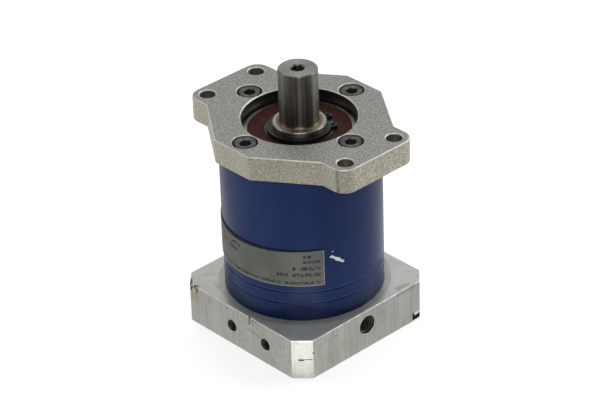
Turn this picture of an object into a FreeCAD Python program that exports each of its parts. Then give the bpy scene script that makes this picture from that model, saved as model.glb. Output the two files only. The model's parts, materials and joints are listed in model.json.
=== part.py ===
"""Inline planetary gear reducer, frame size 90, single stage, ratio 4 to 1.

Millimetres, +Z up along the shafts. The origin is the centre of the motor plate's lower face,
the face that bolts to the motor. The output shaft points up through the mounting flange.
X runs through the two ears of the mounting flange.
"""
import FreeCAD, Part
import math
import os
import re

import Sketcher

# ---------------------------------------------------------------------------------------------
# Driving dimensions, in millimetres unless the name says otherwise.
# ---------------------------------------------------------------------------------------------
DIMENSIONS = {
    # Levels of the outer stack, from the motor face up.
    "plate_top": 25.0,
    "input_flange_top": 36.0,
    "ring_flange_top": 43.2,
    "housing_top": 115.0,
    "collar_top": 120.1,
    "flange_top": 129.4,
    "shaft_top": 158.7,
    "body_radius": 45.0,
    "edge_chamfer": 0.4,
    "cut_overrun": 1.0,

    # Motor plate.
    "plate_half_width": 50.0,
    "plate_corner_leg": 8.5,
    "plate_chamfer": 0.5,
    "pilot_radius": 47.5,
    "pilot_depth": 4.0,
    "cavity_radius": 29.0,
    "motor_bolt_offset": 40.66,
    "motor_bolt_radius": 4.0,
    "motor_bolt_depth": 18.0,
    "side_hole_radius": 3.5,
    "side_hole_depth": 15.0,
    "side_hole_level": 12.5,
    "side_hole_left": -7.1,
    "side_hole_right": 20.1,
    "hole_chamfer": 0.4,
    "access_radius": 5.5,
    "access_level": 15.4,
    "notch_start": 35.5,
    "notch_height": 5.7,
    "notch_depth": 1.0,

    # Screws: bolt circle radius, shank radius, head radius, head height, hex circumradius.
    "plate_screw_circle": 38.0,
    "plate_screw_seat": 10.5,
    "plate_screw_length": 25.0,
    "housing_screw_circle": 40.8,
    "housing_screw_seat": 29.5,
    "housing_screw_length": 25.0,
    "flange_screw_circle": 40.0,
    "flange_screw_seat": 120.8,
    "flange_screw_length": 25.0,
    "carrier_screw_circle": 22.5,
    "carrier_screw_seat": 52.7,
    "carrier_screw_length": 16.0,
    "screw_room": 0.3,
    "head_room": 0.1,

    # Mounting flange.
    "ear_reach": 62.5,
    "ear_half_width": 27.0,
    "ear_root": 45.6,
    "flat_half_length": 13.3,
    "flange_half_width": 50.0,
    "ear_round": 8.3,
    "corner_round": 2.5,
    "ear_hole_x": 54.45,
    "ear_hole_y": 18.25,
    "ear_hole_radius": 4.5,
    "ear_hole_chamfer": 0.6,
    "counterbore_radius": 7.25,
    "counterbore_chamfer": 0.4,
    "flange_bore_radius": 32.0,
    "flange_bore_chamfer": 0.7,
    "register_radius": 34.05,
    "register_room": 0.05,
    "register_top": 120.3,

    # Planetary gear set: straight teeth, 20 degree pressure angle.
    "tooth_module": 1.0,
    "sun_teeth": 21,
    "planet_teeth": 21,
    "ring_teeth": 63,
    "addendum": 1.0,
    "ring_addendum": 0.8,
    "dedendum": 1.25,
    "flank_relief": 0.07,
    "planet_circle": 21.0,
    "planet_bottom": 55.5,
    "planet_top": 73.5,
    "sun_bottom": 55.0,
    "sun_top": 74.0,
    "ring_spigot_radius": 37.0,
    "ring_top": 76.0,
    "ring_bore_radius": 33.0,
    "spigot_top": 46.0,
    "tooth_overlap": 0.5,

    # Planet bearings: full-complement needle rollers on ground pins.
    "pin_radius": 5.0,
    "pin_bottom": 48.0,
    "pin_top": 83.5,
    "planet_bore_radius": 7.0,
    "roller_radius": 0.97,
    "roller_circle": 6.0,
    "roller_count": 17,
    "roller_end_room": 1.0,
    "washer_inner_radius": 5.05,
    "washer_outer_radius": 9.0,
    "washer_thickness": 0.95,

    # Carrier: the front disc is one piece with the output shaft, the rear plate is screwed on.
    "carrier_radius": 29.8,
    "carrier_plate_bottom": 47.5,
    "carrier_plate_top": 54.5,
    "carrier_disc_bottom": 74.5,
    "carrier_disc_top": 84.0,
    "carrier_bore_radius": 13.5,
    "column_radius": 7.0,
    "sun_recess_radius": 12.5,
    "sun_recess_top": 77.0,

    # Output shaft.
    "shaft_radius": 11.0,
    "shaft_chamfer": 0.6,
    "seat_radius": 15.0,
    "seat_top": 126.5,
    "seat_chamfer": 0.5,
    "shoulder_radius": 19.0,
    "foot_round": 2.0,
    "groove_radius": 14.3,
    "circlip_bottom": 122.0,
    "circlip_thickness": 1.5,
    "circlip_room": 0.1,
    "centre_hole_radius": 3.4,
    "centre_hole_depth": 20.0,
    "centre_hole_chamfer": 0.8,
    "circlip_outer_radius": 17.9,
    "circlip_shift": 0.4,
    "lug_circle": 18.3,
    "lug_radius": 2.5,
    "lug_hole_radius": 1.0,
    "lug_near_angle": 45.0,
    "lug_far_angle": 80.0,
    "gap_start_angle": 50.5,
    "gap_angle": 24.0,

    # Output bearings, 30 x 62 x 16.
    "rear_bearing_bottom": 85.0,
    "front_bearing_bottom": 106.0,
    "output_bearing_width": 16.0,
    "output_bearing_radius": 31.0,
    "output_ball_radius": 4.7625,
    "output_ball_circle": 23.0,
    "output_ball_count": 9,
    "output_inner_land": 20.0,
    "output_outer_land": 26.4,
    "seal_recess_radius": 28.8,
    "seal_recess_depth": 1.4,
    "seal_seat_radius": 19.2,
    "seal_room": 0.07,
    "seal_thickness": 0.9,
    "seal_gap": 0.05,
    "seal_bead": 0.2,
    "seal_rim_width": 0.8,
    "seal_lip_width": 1.0,
    "seal_slope": 0.3,
    "rib_radius": 27.0,
    "spacer_outer_radius": 18.5,

    # Input bearing, 35 x 55 x 10.
    "input_bearing_bottom": 33.0,
    "input_bearing_width": 10.0,
    "input_bearing_radius": 27.5,
    "input_ball_radius": 3.0,
    "input_ball_circle": 22.5,
    "input_ball_count": 12,
    "input_inner_land": 20.6,
    "input_outer_land": 24.4,
    "race_room": 0.03,
    "pocket_room": 0.06,
    "cage_half_thickness": 1.2,
    "cage_end_wall": 1.0,

    # Input shaft with its clamping hub for the motor shaft.
    "journal_radius": 17.5,
    "journal_bottom": 24.0,
    "hub_radius": 16.0,
    "hub_bottom": 5.0,
    "motor_bore_radius": 11.0,
    "motor_bore_top": 42.0,
    "input_shoulder_radius": 20.5,
    "input_shoulder_top": 44.6,
    "neck_radius": 9.0,
    "input_groove_radius": 16.7,
    "input_circlip_lip": 1.0,
    "slit_width": 2.0,
    "slit_top": 21.0,
    "clamp_outer_radius": 27.0,
    "clamp_bottom": 8.4,
    "clamp_top": 22.4,
    "clamp_screw_radius": 4.0,
    "clamp_screw_length": 10.0,
    "clamp_screw_hex": 2.3,
    "clamp_screw_sunk": 0.5,

    # Seals and rings between the housing parts.
    "input_seal_radius": 25.0,
    "input_seal_bottom": 25.5,
    "input_seal_top": 31.2,
    "seal_case_thickness": 1.2,
    "seal_lip_room": 0.05,
    "lip_radius": 23.5,
    "lip_bottom": 31.5,
    "inner_circlip_radius": 28.8,
    "inner_circlip_bore": 24.8,
    "inner_circlip_top": 44.8,
    "o_ring_radius": 0.8,
    "o_ring_groove": 2.2,
    "input_o_ring_level": 40.0,
    "ring_o_ring_level": 51.0,

    # Name plate on the gear housing.
    "name_plate_bottom": 47.8,
    "name_plate_top": 70.4,
    "name_plate_thickness": 0.5,
    "name_plate_start_angle": -151.3,
    "name_plate_angle": 122.6,
}

PLATE_SCREW_ANGLES = [45, 135, 225, 315]
HOUSING_SCREW_ANGLES = [22.5 + 45 * step for step in range(8)]
FLANGE_SCREW_ANGLES = [0, 90, 180, 270]
PLANET_ANGLES = [0, 120, 240]
COLUMN_ANGLES = [60, 180, 300]
PRESSURE_ANGLE = math.radians(20)
SEAM_ANGLE = 17.0

# Metric cap screws: shank radius, head radius, head height, hex circumradius, hex depth.
CAP_SCREWS = {
    "M4": (2.0, 3.5, 4.0, 1.732, 2.0),
    "M5": (2.5, 4.25, 5.0, 2.309, 2.5),
    "M6": (3.0, 5.0, 6.0, 2.887, 3.0),
    "M8": (4.0, 6.5, 8.0, 3.464, 4.0),
}



def shank(size):
    """Shank radius of a cap screw, which is also the radius of its thread hole."""
    return CAP_SCREWS[size][0]


def head(size):
    """Head radius of a cap screw."""
    return CAP_SCREWS[size][1]


doc = FreeCAD.newDocument("InlineGearReducer")
sheet = doc.addObject("Spreadsheet::Sheet", "Dimensions")
for row, (alias, size) in enumerate(DIMENSIONS.items(), start=1):
    sheet.set(f"A{row}", alias)
    sheet.set(f"B{row}", str(size))
    sheet.setAlias(f"B{row}", alias)
doc.recompute()

ALIAS_WORD = re.compile(r"[a-z]+(?:_[a-z]+)+")
nodes = []


# ---------------------------------------------------------------------------------------------
# Helpers: every size is a formula of the sheet's aliases.
# ---------------------------------------------------------------------------------------------
def formula(text):
    """Write a formula of alias words in the form that setExpression reads."""
    return ALIAS_WORD.sub(lambda word: "Dimensions." + word.group(0), str(text))


def number(text):
    """The present value of a formula."""
    return float(sheet.evalExpression(formula(text)))


def bind(thing, **sizes):
    """Bind properties of an object to formulas."""
    for name, text in sizes.items():
        thing.setExpression(name, formula(text))


def locate(thing, x="0", y="0", z="0"):
    """Bind an object's place to formulas."""
    thing.setExpression("Placement.Base.x", formula(x))
    thing.setExpression("Placement.Base.y", formula(y))
    thing.setExpression("Placement.Base.z", formula(z))


def polar(circle, angle):
    """Formulas for X and Y of a point on a circle about the Z axis."""
    return f"({circle}) * cos({angle})", f"({circle}) * sin({angle})"


def cylinder(name, radius, bottom, top, x="0", y="0"):
    solid = doc.addObject("Part::Cylinder", name)
    bind(solid, Radius=radius, Height=f"({top}) - ({bottom})")
    locate(solid, x, y, bottom)
    return solid


def cone(name, lower_radius, upper_radius, bottom, top, x="0", y="0"):
    solid = doc.addObject("Part::Cone", name)
    bind(solid, Radius1=lower_radius, Radius2=upper_radius, Height=f"({top}) - ({bottom})")
    locate(solid, x, y, bottom)
    return solid


def box(name, low, high):
    """A box between two corners, each a triple of formulas."""
    solid = doc.addObject("Part::Box", name)
    for side, a, b in zip(("Length", "Width", "Height"), low, high):
        bind(solid, **{side: f"({b}) - ({a})"})
    locate(solid, *low)
    return solid


def cross_hole(name, radius, length, x, y, z, axis):
    """A round tool that starts at a point and runs along an axis in the XY plane."""
    solid = doc.addObject("Part::Cylinder", name)
    bind(solid, Radius=radius, Height=length)
    solid.Placement.Rotation = FreeCAD.Rotation(FreeCAD.Vector(0, 0, 1), FreeCAD.Vector(*axis))
    locate(solid, x, y, z)
    return solid


def cross_chamfer(name, radius, chamfer, x, y, z, axis):
    """The chamfer of a cross hole, wide at the start point and narrowing along the axis."""
    solid = doc.addObject("Part::Cone", name)
    bind(solid, Radius1=f"{radius} + {chamfer}", Radius2=radius, Height=chamfer)
    solid.Placement.Rotation = FreeCAD.Rotation(FreeCAD.Vector(0, 0, 1), FreeCAD.Vector(*axis))
    locate(solid, x, y, z)
    return solid


def torus(name, circle, radius, level):
    """A ring of round section, with its seam turned away from the seams of turned bodies."""
    solid = doc.addObject("Part::Torus", name)
    bind(solid, Radius1=circle, Radius2=radius)
    solid.Placement.Rotation = FreeCAD.Rotation(FreeCAD.Vector(0, 0, 1), SEAM_ANGLE)
    locate(solid, z=level)
    return solid


def cut(name, base, tools):
    """Base minus all the tools."""
    tool = tools[0] if len(tools) == 1 else join(name + "_tools", tools)
    solid = doc.addObject("Part::Cut", name)
    solid.Base = base
    solid.Tool = tool
    return solid


def join(name, pieces):
    solid = doc.addObject("Part::MultiFuse", name)
    solid.Shapes = pieces
    return solid


def group(name, pieces):
    """One node of several separate solids."""
    bundle = doc.addObject("Part::Compound", name)
    bundle.Links = pieces
    return bundle


def tube(name, outer, inner, bottom, top, x="0", y="0"):
    outside = cylinder(name + "_outside", outer, bottom, top, x, y)
    inside = cylinder(name + "_inside", inner, f"{bottom} - cut_overrun", f"{top} + cut_overrun", x, y)
    return cut(name, outside, [inside])


def pin_coordinate(sketch, kind, line, text):
    """Hold one coordinate of a line's start point at a formula, measured from the origin."""
    size = number(text)
    if abs(size) < 1e-9:
        axis = -1 if kind == "DistanceY" else -2
        sketch.addConstraint(Sketcher.Constraint("PointOnObject", line, 1, axis))
        return
    if size > 0:
        index = sketch.addConstraint(Sketcher.Constraint(kind, -1, 1, line, 1, size))
        sketch.setExpression(f"Constraints[{index}]", formula(text))
    else:
        index = sketch.addConstraint(Sketcher.Constraint(kind, line, 1, -1, 1, -size))
        sketch.setExpression(f"Constraints[{index}]", f"-({formula(text)})")


def outline(body, name, plane, corners):
    """A closed sketch of straight lines whose corners are pairs of formulas."""
    sketch = body.newObject("Sketcher::SketchObject", name)
    support = [item for item in body.Origin.OriginFeatures if item.Role == plane][0]
    sketch.AttachmentSupport = [(support, "")]
    sketch.MapMode = "FlatFace"
    points = [FreeCAD.Vector(number(a), number(b), 0) for a, b in corners]
    count = len(points)
    for index in range(count):
        sketch.addGeometry(Part.LineSegment(points[index], points[(index + 1) % count]))
    for index in range(count):
        sketch.addConstraint(Sketcher.Constraint("Coincident", index, 2, (index + 1) % count, 1))
    for index, (a, b) in enumerate(corners):
        pin_coordinate(sketch, "DistanceX", index, a)
        pin_coordinate(sketch, "DistanceY", index, b)
    return sketch


def turned(name, profile):
    """A body of revolution about Z from (radius, level) pairs."""
    body = doc.addObject("PartDesign::Body", name)
    sketch = outline(body, name + "_profile", "XZ_Plane", profile)
    spin = body.newObject("PartDesign::Revolution", name + "_turn")
    spin.Profile = sketch
    spin.ReferenceAxis = (sketch, ["V_Axis"])
    spin.Angle = 360
    return body


def slab(name, corners, bottom, top):
    """A prism between two levels from (x, y) corners."""
    body = doc.addObject("PartDesign::Body", name)
    sketch = outline(body, name + "_outline", "XY_Plane", corners)
    sketch.setExpression("AttachmentOffset.Base.z", formula(bottom))
    pad = body.newObject("PartDesign::Pad", name + "_pad")
    pad.Profile = sketch
    pad.setExpression("Length", formula(f"({top}) - ({bottom})"))
    doc.recompute()
    return body, pad


def dress(body, kind, base, wanted, size):
    """Fillet or chamfer the edges of a feature that the test picks, by a formula."""
    edges = [f"Edge{i}" for i, edge in enumerate(base.Shape.Edges, start=1) if wanted(edge)]
    feature = body.newObject("PartDesign::" + kind, body.Name + "_" + kind.lower())
    feature.Base = (base, edges)
    feature.setExpression("Radius" if kind == "Fillet" else "Size", formula(size))
    doc.recompute()
    return feature


def at_level(edge, levels):
    """True when the whole edge lies at one of the levels."""
    bounds = edge.BoundBox
    return any(abs(bounds.ZMin - z) < 1e-6 and abs(bounds.ZMax - z) < 1e-6 for z in levels)


def upright_at(edge, spots):
    """True for a vertical edge through one of the (x, y) spots, whatever their signs."""
    bounds = edge.BoundBox
    if bounds.XLength > 1e-6 or bounds.YLength > 1e-6:
        return False
    return any(abs(abs(bounds.XMin) - x) + abs(abs(bounds.YMin) - y) < 1e-3 for x, y in spots)


def cap_screw(name, size, seat, length, x, y, head_up=True):
    """A hexagon socket cap screw whose head rests on the seat level."""
    shank_radius, head_radius, head_height, hex_radius, hex_depth = CAP_SCREWS[size]
    bevel = 0.1 * head_height
    side = 1 if head_up else -1
    levels = {
        "shank_end": f"{seat} - {side} * {length}",
        "bevel_start": f"{seat} + {side * (head_height - bevel)}",
        "head_end": f"{seat} + {side * head_height}",
        "hex_end": f"{seat} + {side * (head_height - hex_depth)}",
    }

    def span(a, b):
        return (a, b) if head_up else (b, a)

    shank = cylinder(name + "_shank", shank_radius, *span(levels["shank_end"], seat), x, y)
    head = cylinder(name + "_head", head_radius, *span(seat, levels["bevel_start"]), x, y)
    radii = span(head_radius, head_radius - bevel)
    rim = cone(name + "_bevel", *radii, *span(levels["bevel_start"], levels["head_end"]), x, y)
    socket = doc.addObject("Part::Prism", name + "_socket")
    socket.Polygon = 6
    low, high = span(levels["hex_end"], f"{levels['head_end']} + {side} * cut_overrun")
    bind(socket, Circumradius=hex_radius, Height=f"({high}) - ({low})")
    locate(socket, x, y, low)
    return cut(name, join(name + "_solid", [shank, head, rim]), [socket])


def screw_ring(name, size, circle, angles, seat, length, head_up=True):
    """A group of equal screws on a bolt circle."""
    screws = []
    for index, angle in enumerate(angles, start=1):
        x, y = polar(circle, angle)
        screws.append(cap_screw(f"{name}_{index}", size, seat, length, x, y, head_up))
    return group(name, screws)


def hole_ring(name, radius, circle, angles, bottom, top):
    """Round tools on a bolt circle."""
    tools = []
    for index, angle in enumerate(angles, start=1):
        x, y = polar(circle, angle)
        tools.append(cylinder(f"{name}_{index}", radius, bottom, top, x, y))
    return tools


def node(thing, label):
    """Register a finished sub-part under its own label."""
    thing.Label = label
    nodes.append(thing)
    return thing


# ---------------------------------------------------------------------------------------------
# Gear teeth: an involute flank is drawn as one arc through three of its points.
# ---------------------------------------------------------------------------------------------
def toothed_wire(teeth, addendum, dedendum, relief, first_tooth_angle):
    """Closed outline of a gear with straight teeth, one of them centred on the given angle.

    Relief is taken from each flank. A negative relief makes the tooth space of an internal gear.
    """
    module = number("tooth_module")
    pitch_radius = module * teeth / 2
    base_radius = pitch_radius * math.cos(PRESSURE_ANGLE)
    root_radius = pitch_radius - dedendum * module
    tip_radius = pitch_radius + addendum * module
    flank_start = max(base_radius, root_radius)
    pitch_half_angle = math.pi / (2 * teeth) - relief / pitch_radius

    def half_angle(radius):
        slope = math.acos(min(1.0, base_radius / radius))
        involute = math.tan(slope) - slope
        start = math.tan(PRESSURE_ANGLE) - PRESSURE_ANGLE
        return pitch_half_angle + start - involute

    def point(radius, angle):
        return FreeCAD.Vector(radius * math.cos(angle), radius * math.sin(angle), 0)

    middle_radius = (flank_start + tip_radius) / 2
    step = 2 * math.pi / teeth
    edges = []
    for index in range(teeth):
        centre = first_tooth_angle + index * step
        flanks = []
        for side in (-1, 1):
            radii = (flank_start, middle_radius, tip_radius)
            flank = [point(radius, centre + side * half_angle(radius)) for radius in radii]
            foot = point(root_radius, centre + side * half_angle(flank_start))
            flanks.append((foot, flank))
        (low_foot, low_flank), (high_foot, high_flank) = flanks
        has_foot = flank_start - root_radius > 1e-6
        if has_foot:
            edges.append(Part.makeLine(low_foot, low_flank[0]))
        edges.append(Part.Arc(*low_flank).toShape())
        edges.append(Part.Arc(low_flank[2], point(tip_radius, centre), high_flank[2]).toShape())
        edges.append(Part.Arc(*reversed(high_flank)).toShape())
        if has_foot:
            edges.append(Part.makeLine(high_flank[0], high_foot))
        root_half = half_angle(flank_start)
        next_foot = point(root_radius, centre + step - root_half)
        edges.append(Part.Arc(high_foot, point(root_radius, centre + step / 2), next_foot).toShape())
    return Part.Wire(edges)


def toothed_solid(name, wire, bottom, top, x=0.0, y=0.0):
    """The outline extruded between two levels, as a plain shape with its own placement."""
    solid = doc.addObject("Part::Feature", name)
    height = number(top) - number(bottom)
    solid.Shape = Part.Face(wire).extrude(FreeCAD.Vector(0, 0, height))
    solid.Placement = FreeCAD.Placement(FreeCAD.Vector(x, y, number(bottom)), FreeCAD.Rotation())
    return solid


# ---------------------------------------------------------------------------------------------
# Sub-parts of the housing.
# ---------------------------------------------------------------------------------------------
def motor_plate():
    """Square adapter plate with the motor's pilot recess and the cavity of the clamping hub."""
    half, leg = "plate_half_width", "plate_half_width - plate_corner_leg"
    corners = [
        (half, leg), (leg, half), (f"-({leg})", half), (f"-{half}", leg),
        (f"-{half}", f"-({leg})"), (f"-({leg})", f"-{half}"), (leg, f"-{half}"), (half, f"-({leg})"),
    ]
    body, pad = slab("plate_block", corners, "0", "plate_top")
    levels = (0.0, number("plate_top"))
    dress(body, "Chamfer", pad, lambda edge: at_level(edge, levels), "plate_chamfer")
    tools = [
        cylinder("pilot_recess", "pilot_radius", "-cut_overrun", "pilot_depth"),
        cylinder("hub_cavity", "cavity_radius", 0, "plate_top + cut_overrun"),
    ]
    for x_side in (-1, 1):
        for y_side in (-1, 1):
            x, y = f"{x_side} * motor_bolt_offset", f"{y_side} * motor_bolt_offset"
            tools.append(cylinder("motor_thread", "motor_bolt_radius", "-cut_overrun",
                                  "motor_bolt_depth", x, y))
            tools.append(cone("motor_thread_chamfer", "motor_bolt_radius + hole_chamfer",
                              "motor_bolt_radius", 0, "hole_chamfer", x, y))
    tools += hole_ring("plate_screw_hole", f"{shank('M6')} + screw_room", "plate_screw_circle",
                       PLATE_SCREW_ANGLES, 0, "plate_top + cut_overrun")
    tools += hole_ring("plate_screw_sink", f"{head('M6')} + screw_room", "plate_screw_circle",
                       PLATE_SCREW_ANGLES, 0, "plate_screw_seat")
    for x in ("side_hole_left", "side_hole_right"):
        tools.append(cross_hole("side_hole", "side_hole_radius", "side_hole_depth",
                                x, "-plate_half_width", "side_hole_level", (0, 1, 0)))
        tools.append(cross_chamfer("side_hole_chamfer", "side_hole_radius", "hole_chamfer",
                                   x, "-plate_half_width", "side_hole_level", (0, 1, 0)))
    tools.append(cross_hole("access_hole", "access_radius", "plate_half_width - cavity_radius / 2",
                            "plate_half_width", "0", "access_level", (-1, 0, 0)))
    tools.append(cross_chamfer("access_chamfer", "access_radius", "hole_chamfer",
                               "plate_half_width", "0", "access_level", (-1, 0, 0)))
    tools.append(box("pry_notch", ("plate_half_width - notch_depth", "notch_start", "-cut_overrun"),
                     ("plate_half_width + cut_overrun", "plate_half_width", "notch_height")))
    node(cut("motor_plate_solid", body, tools), "motor_plate")
    node(screw_ring("plate_screw_set", "M6", "plate_screw_circle", PLATE_SCREW_ANGLES,
                    "plate_screw_seat", "plate_screw_length", head_up=False), "plate_screws")


def input_housing():
    """Lower blue ring: seal bore, bearing bore and a spigot that centres the ring gear."""
    groove_low = "input_o_ring_level - o_ring_groove / 2"
    groove_high = "input_o_ring_level + o_ring_groove / 2"
    groove_radius = "ring_bore_radius - 2 * o_ring_radius"
    bearing_top = "input_bearing_bottom + input_bearing_width"
    blank = turned("input_housing_blank", [
        ("input_seal_radius", "plate_top"),
        ("body_radius - edge_chamfer", "plate_top"),
        ("body_radius", "plate_top + edge_chamfer"),
        ("body_radius", "input_flange_top - edge_chamfer"),
        ("body_radius - edge_chamfer", "input_flange_top"),
        ("ring_bore_radius", "input_flange_top"),
        ("ring_bore_radius", groove_low),
        (groove_radius, groove_low),
        (groove_radius, groove_high),
        ("ring_bore_radius", groove_high),
        ("ring_bore_radius", "spigot_top"),
        ("input_bearing_radius", "spigot_top"),
        ("input_bearing_radius", "inner_circlip_top"),
        ("inner_circlip_radius", "inner_circlip_top"),
        ("inner_circlip_radius", bearing_top),
        ("input_bearing_radius", bearing_top),
        ("input_bearing_radius", "input_bearing_bottom"),
        ("lip_radius", "input_bearing_bottom"),
        ("lip_radius", "lip_bottom"),
        ("input_seal_radius", "lip_bottom"),
    ])
    tools = hole_ring("input_plate_thread", shank("M6"), "plate_screw_circle", PLATE_SCREW_ANGLES,
                      "plate_top - cut_overrun", "input_flange_top + cut_overrun")
    tools += hole_ring("input_housing_hole", f"{shank('M4')} + screw_room", "housing_screw_circle",
                       HOUSING_SCREW_ANGLES, "plate_top - cut_overrun",
                       "input_flange_top + cut_overrun")
    tools += hole_ring("input_housing_sink", f"{head('M4')} + head_room", "housing_screw_circle",
                       HOUSING_SCREW_ANGLES, "plate_top - cut_overrun", "housing_screw_seat")
    node(cut("input_housing_solid", blank, tools), "input_housing")
    node(torus("input_o_ring_solid", "ring_bore_radius - o_ring_radius", "o_ring_radius",
               "input_o_ring_level"), "input_o_ring")
    node(tube("inner_circlip", "inner_circlip_radius", "inner_circlip_bore", bearing_top,
              "inner_circlip_top"), "input_bearing_circlip")


def input_seal():
    """Shaft seal with an L-shaped case and a lip that runs on the input journal."""
    node(turned("input_seal_ring", [
        ("journal_radius + seal_lip_room", "input_seal_bottom"),
        ("input_seal_radius", "input_seal_bottom"),
        ("input_seal_radius", "input_seal_top"),
        ("input_seal_radius - seal_case_thickness", "input_seal_top"),
        ("input_seal_radius - seal_case_thickness", "input_seal_bottom + seal_case_thickness"),
        ("journal_radius + 2 * seal_case_thickness", "input_seal_bottom + seal_case_thickness"),
        ("journal_radius + 2 * seal_case_thickness", "input_seal_top - seal_case_thickness"),
        ("journal_radius + seal_lip_room", "input_seal_bottom + 3 * seal_case_thickness"),
    ]), "input_seal")


def ring_gear():
    """Internal gear with its clamped flange and a spigot that centres the gear housing."""
    blank = turned("ring_gear_blank", [
        ("0", "input_flange_top"),
        ("body_radius - edge_chamfer", "input_flange_top"),
        ("body_radius", "input_flange_top + edge_chamfer"),
        ("body_radius", "ring_flange_top - edge_chamfer"),
        ("body_radius - edge_chamfer", "ring_flange_top"),
        ("ring_spigot_radius", "ring_flange_top"),
        ("ring_spigot_radius", "ring_top"),
        ("0", "ring_top"),
    ])
    space = toothed_wire(int(number("ring_teeth")), number("dedendum"), number("ring_addendum"),
                         -number("flank_relief"), math.pi / number("ring_teeth"))
    half_groove = "o_ring_groove / 2"
    tools = [
        toothed_solid("ring_tooth_space", space, "spigot_top - tooth_overlap",
                      "ring_top + cut_overrun"),
        cylinder("ring_spigot_bore", "ring_bore_radius", "input_flange_top - cut_overrun",
                 "spigot_top + tooth_overlap"),
        tube("ring_o_ring_groove", "ring_spigot_radius + cut_overrun",
             "ring_spigot_radius - 2 * o_ring_radius",
             f"ring_o_ring_level - {half_groove}", f"ring_o_ring_level + {half_groove}"),
    ]
    tools += hole_ring("ring_screw_hole", f"{shank('M4')} + screw_room", "housing_screw_circle",
                       HOUSING_SCREW_ANGLES, "input_flange_top - cut_overrun",
                       "ring_flange_top + cut_overrun")
    node(cut("ring_gear_solid", blank, tools), "ring_gear")
    node(torus("ring_o_ring_solid", "ring_spigot_radius - o_ring_radius", "o_ring_radius",
               "ring_o_ring_level"), "ring_o_ring")


def gear_housing():
    """Main blue barrel: ring gear bore, two bearing bores with a rib between, and a collar."""
    rib_bottom = "rear_bearing_bottom + output_bearing_width"
    blank = turned("gear_housing_blank", [
        ("ring_spigot_radius", "ring_flange_top"),
        ("body_radius - edge_chamfer", "ring_flange_top"),
        ("body_radius", "ring_flange_top + edge_chamfer"),
        ("body_radius", "housing_top - edge_chamfer"),
        ("body_radius - edge_chamfer", "housing_top"),
        ("register_radius - register_room", "housing_top"),
        ("register_radius - register_room", "collar_top - edge_chamfer"),
        ("register_radius - register_room - edge_chamfer", "collar_top"),
        ("output_bearing_radius + edge_chamfer", "collar_top"),
        ("output_bearing_radius", "collar_top - edge_chamfer"),
        ("output_bearing_radius", "front_bearing_bottom"),
        ("rib_radius", "front_bearing_bottom"),
        ("rib_radius", rib_bottom),
        ("output_bearing_radius", rib_bottom),
        ("output_bearing_radius", "ring_top"),
        ("ring_spigot_radius", "ring_top"),
    ])
    tools = hole_ring("flange_thread", shank("M8"), "flange_screw_circle", FLANGE_SCREW_ANGLES,
                      "flange_screw_seat - flange_screw_length - cut_overrun",
                      "housing_top + cut_overrun")
    tools += hole_ring("housing_thread", shank("M4"), "housing_screw_circle", HOUSING_SCREW_ANGLES,
                       "ring_flange_top - cut_overrun",
                       "housing_screw_seat + housing_screw_length + cut_overrun")
    node(cut("gear_housing_solid", blank, tools), "gear_housing")
    node(screw_ring("housing_screw_set", "M4", "housing_screw_circle", HOUSING_SCREW_ANGLES,
                    "housing_screw_seat", "housing_screw_length", head_up=False), "housing_screws")


def mounting_flange():
    """Two-eared flange plate that carries the reducer, screwed to the gear housing."""
    quarter = [
        ("ear_reach", "ear_half_width"), ("ear_root", "ear_half_width"),
        ("flat_half_length", "flange_half_width"),
    ]
    corners = list(quarter)
    corners += [(f"-{x}", y) for x, y in reversed(quarter)]
    corners += [(f"-{x}", f"-{y}") for x, y in quarter]
    corners += [(x, f"-{y}") for x, y in reversed(quarter)]
    body, pad = slab("flange_block", corners, "housing_top", "flange_top")
    ear_spots = [(number("ear_reach"), number("ear_half_width"))]
    rounded = dress(body, "Fillet", pad, lambda edge: upright_at(edge, ear_spots), "ear_round")
    corner_spots = [
        (number("ear_root"), number("ear_half_width")),
        (number("flat_half_length"), number("flange_half_width")),
    ]
    rounded = dress(body, "Fillet", rounded, lambda edge: upright_at(edge, corner_spots),
                    "corner_round")
    levels = (number("housing_top"), number("flange_top"))
    dress(body, "Chamfer", rounded, lambda edge: at_level(edge, levels), "plate_chamfer")

    above = "flange_top + cut_overrun"
    tools = [
        cylinder("flange_bore", "flange_bore_radius", "housing_top", above),
        cylinder("flange_register", "register_radius", "housing_top - cut_overrun", "register_top"),
        cone("flange_bore_chamfer", "flange_bore_radius", "flange_bore_radius + flange_bore_chamfer",
             "flange_top - flange_bore_chamfer", "flange_top"),
    ]
    tools += hole_ring("flange_screw_sink", "counterbore_radius", "flange_screw_circle",
                       FLANGE_SCREW_ANGLES, "flange_screw_seat", above)
    tools += hole_ring("flange_screw_hole", f"{shank('M8')} + screw_room", "flange_screw_circle",
                       FLANGE_SCREW_ANGLES, "housing_top - cut_overrun", above)
    for angle in FLANGE_SCREW_ANGLES:
        x, y = polar("flange_screw_circle", angle)
        tools.append(cone("sink_chamfer", "counterbore_radius",
                          "counterbore_radius + counterbore_chamfer",
                          "flange_top - counterbore_chamfer", "flange_top", x, y))
    for x_side in (-1, 1):
        for y_side in (-1, 1):
            x, y = f"{x_side} * ear_hole_x", f"{y_side} * ear_hole_y"
            wide = "ear_hole_radius + ear_hole_chamfer"
            tools.append(cylinder("ear_hole", "ear_hole_radius", "housing_top - cut_overrun",
                                  above, x, y))
            tools.append(cone("ear_hole_top", "ear_hole_radius", wide,
                              "flange_top - ear_hole_chamfer", "flange_top", x, y))
            tools.append(cone("ear_hole_foot", wide, "ear_hole_radius", "housing_top",
                              "housing_top + ear_hole_chamfer", x, y))
    node(cut("mounting_flange_solid", body, tools), "mounting_flange")
    node(screw_ring("flange_screw_set", "M8", "flange_screw_circle", FLANGE_SCREW_ANGLES,
                    "flange_screw_seat", "flange_screw_length"), "flange_screws")


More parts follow.
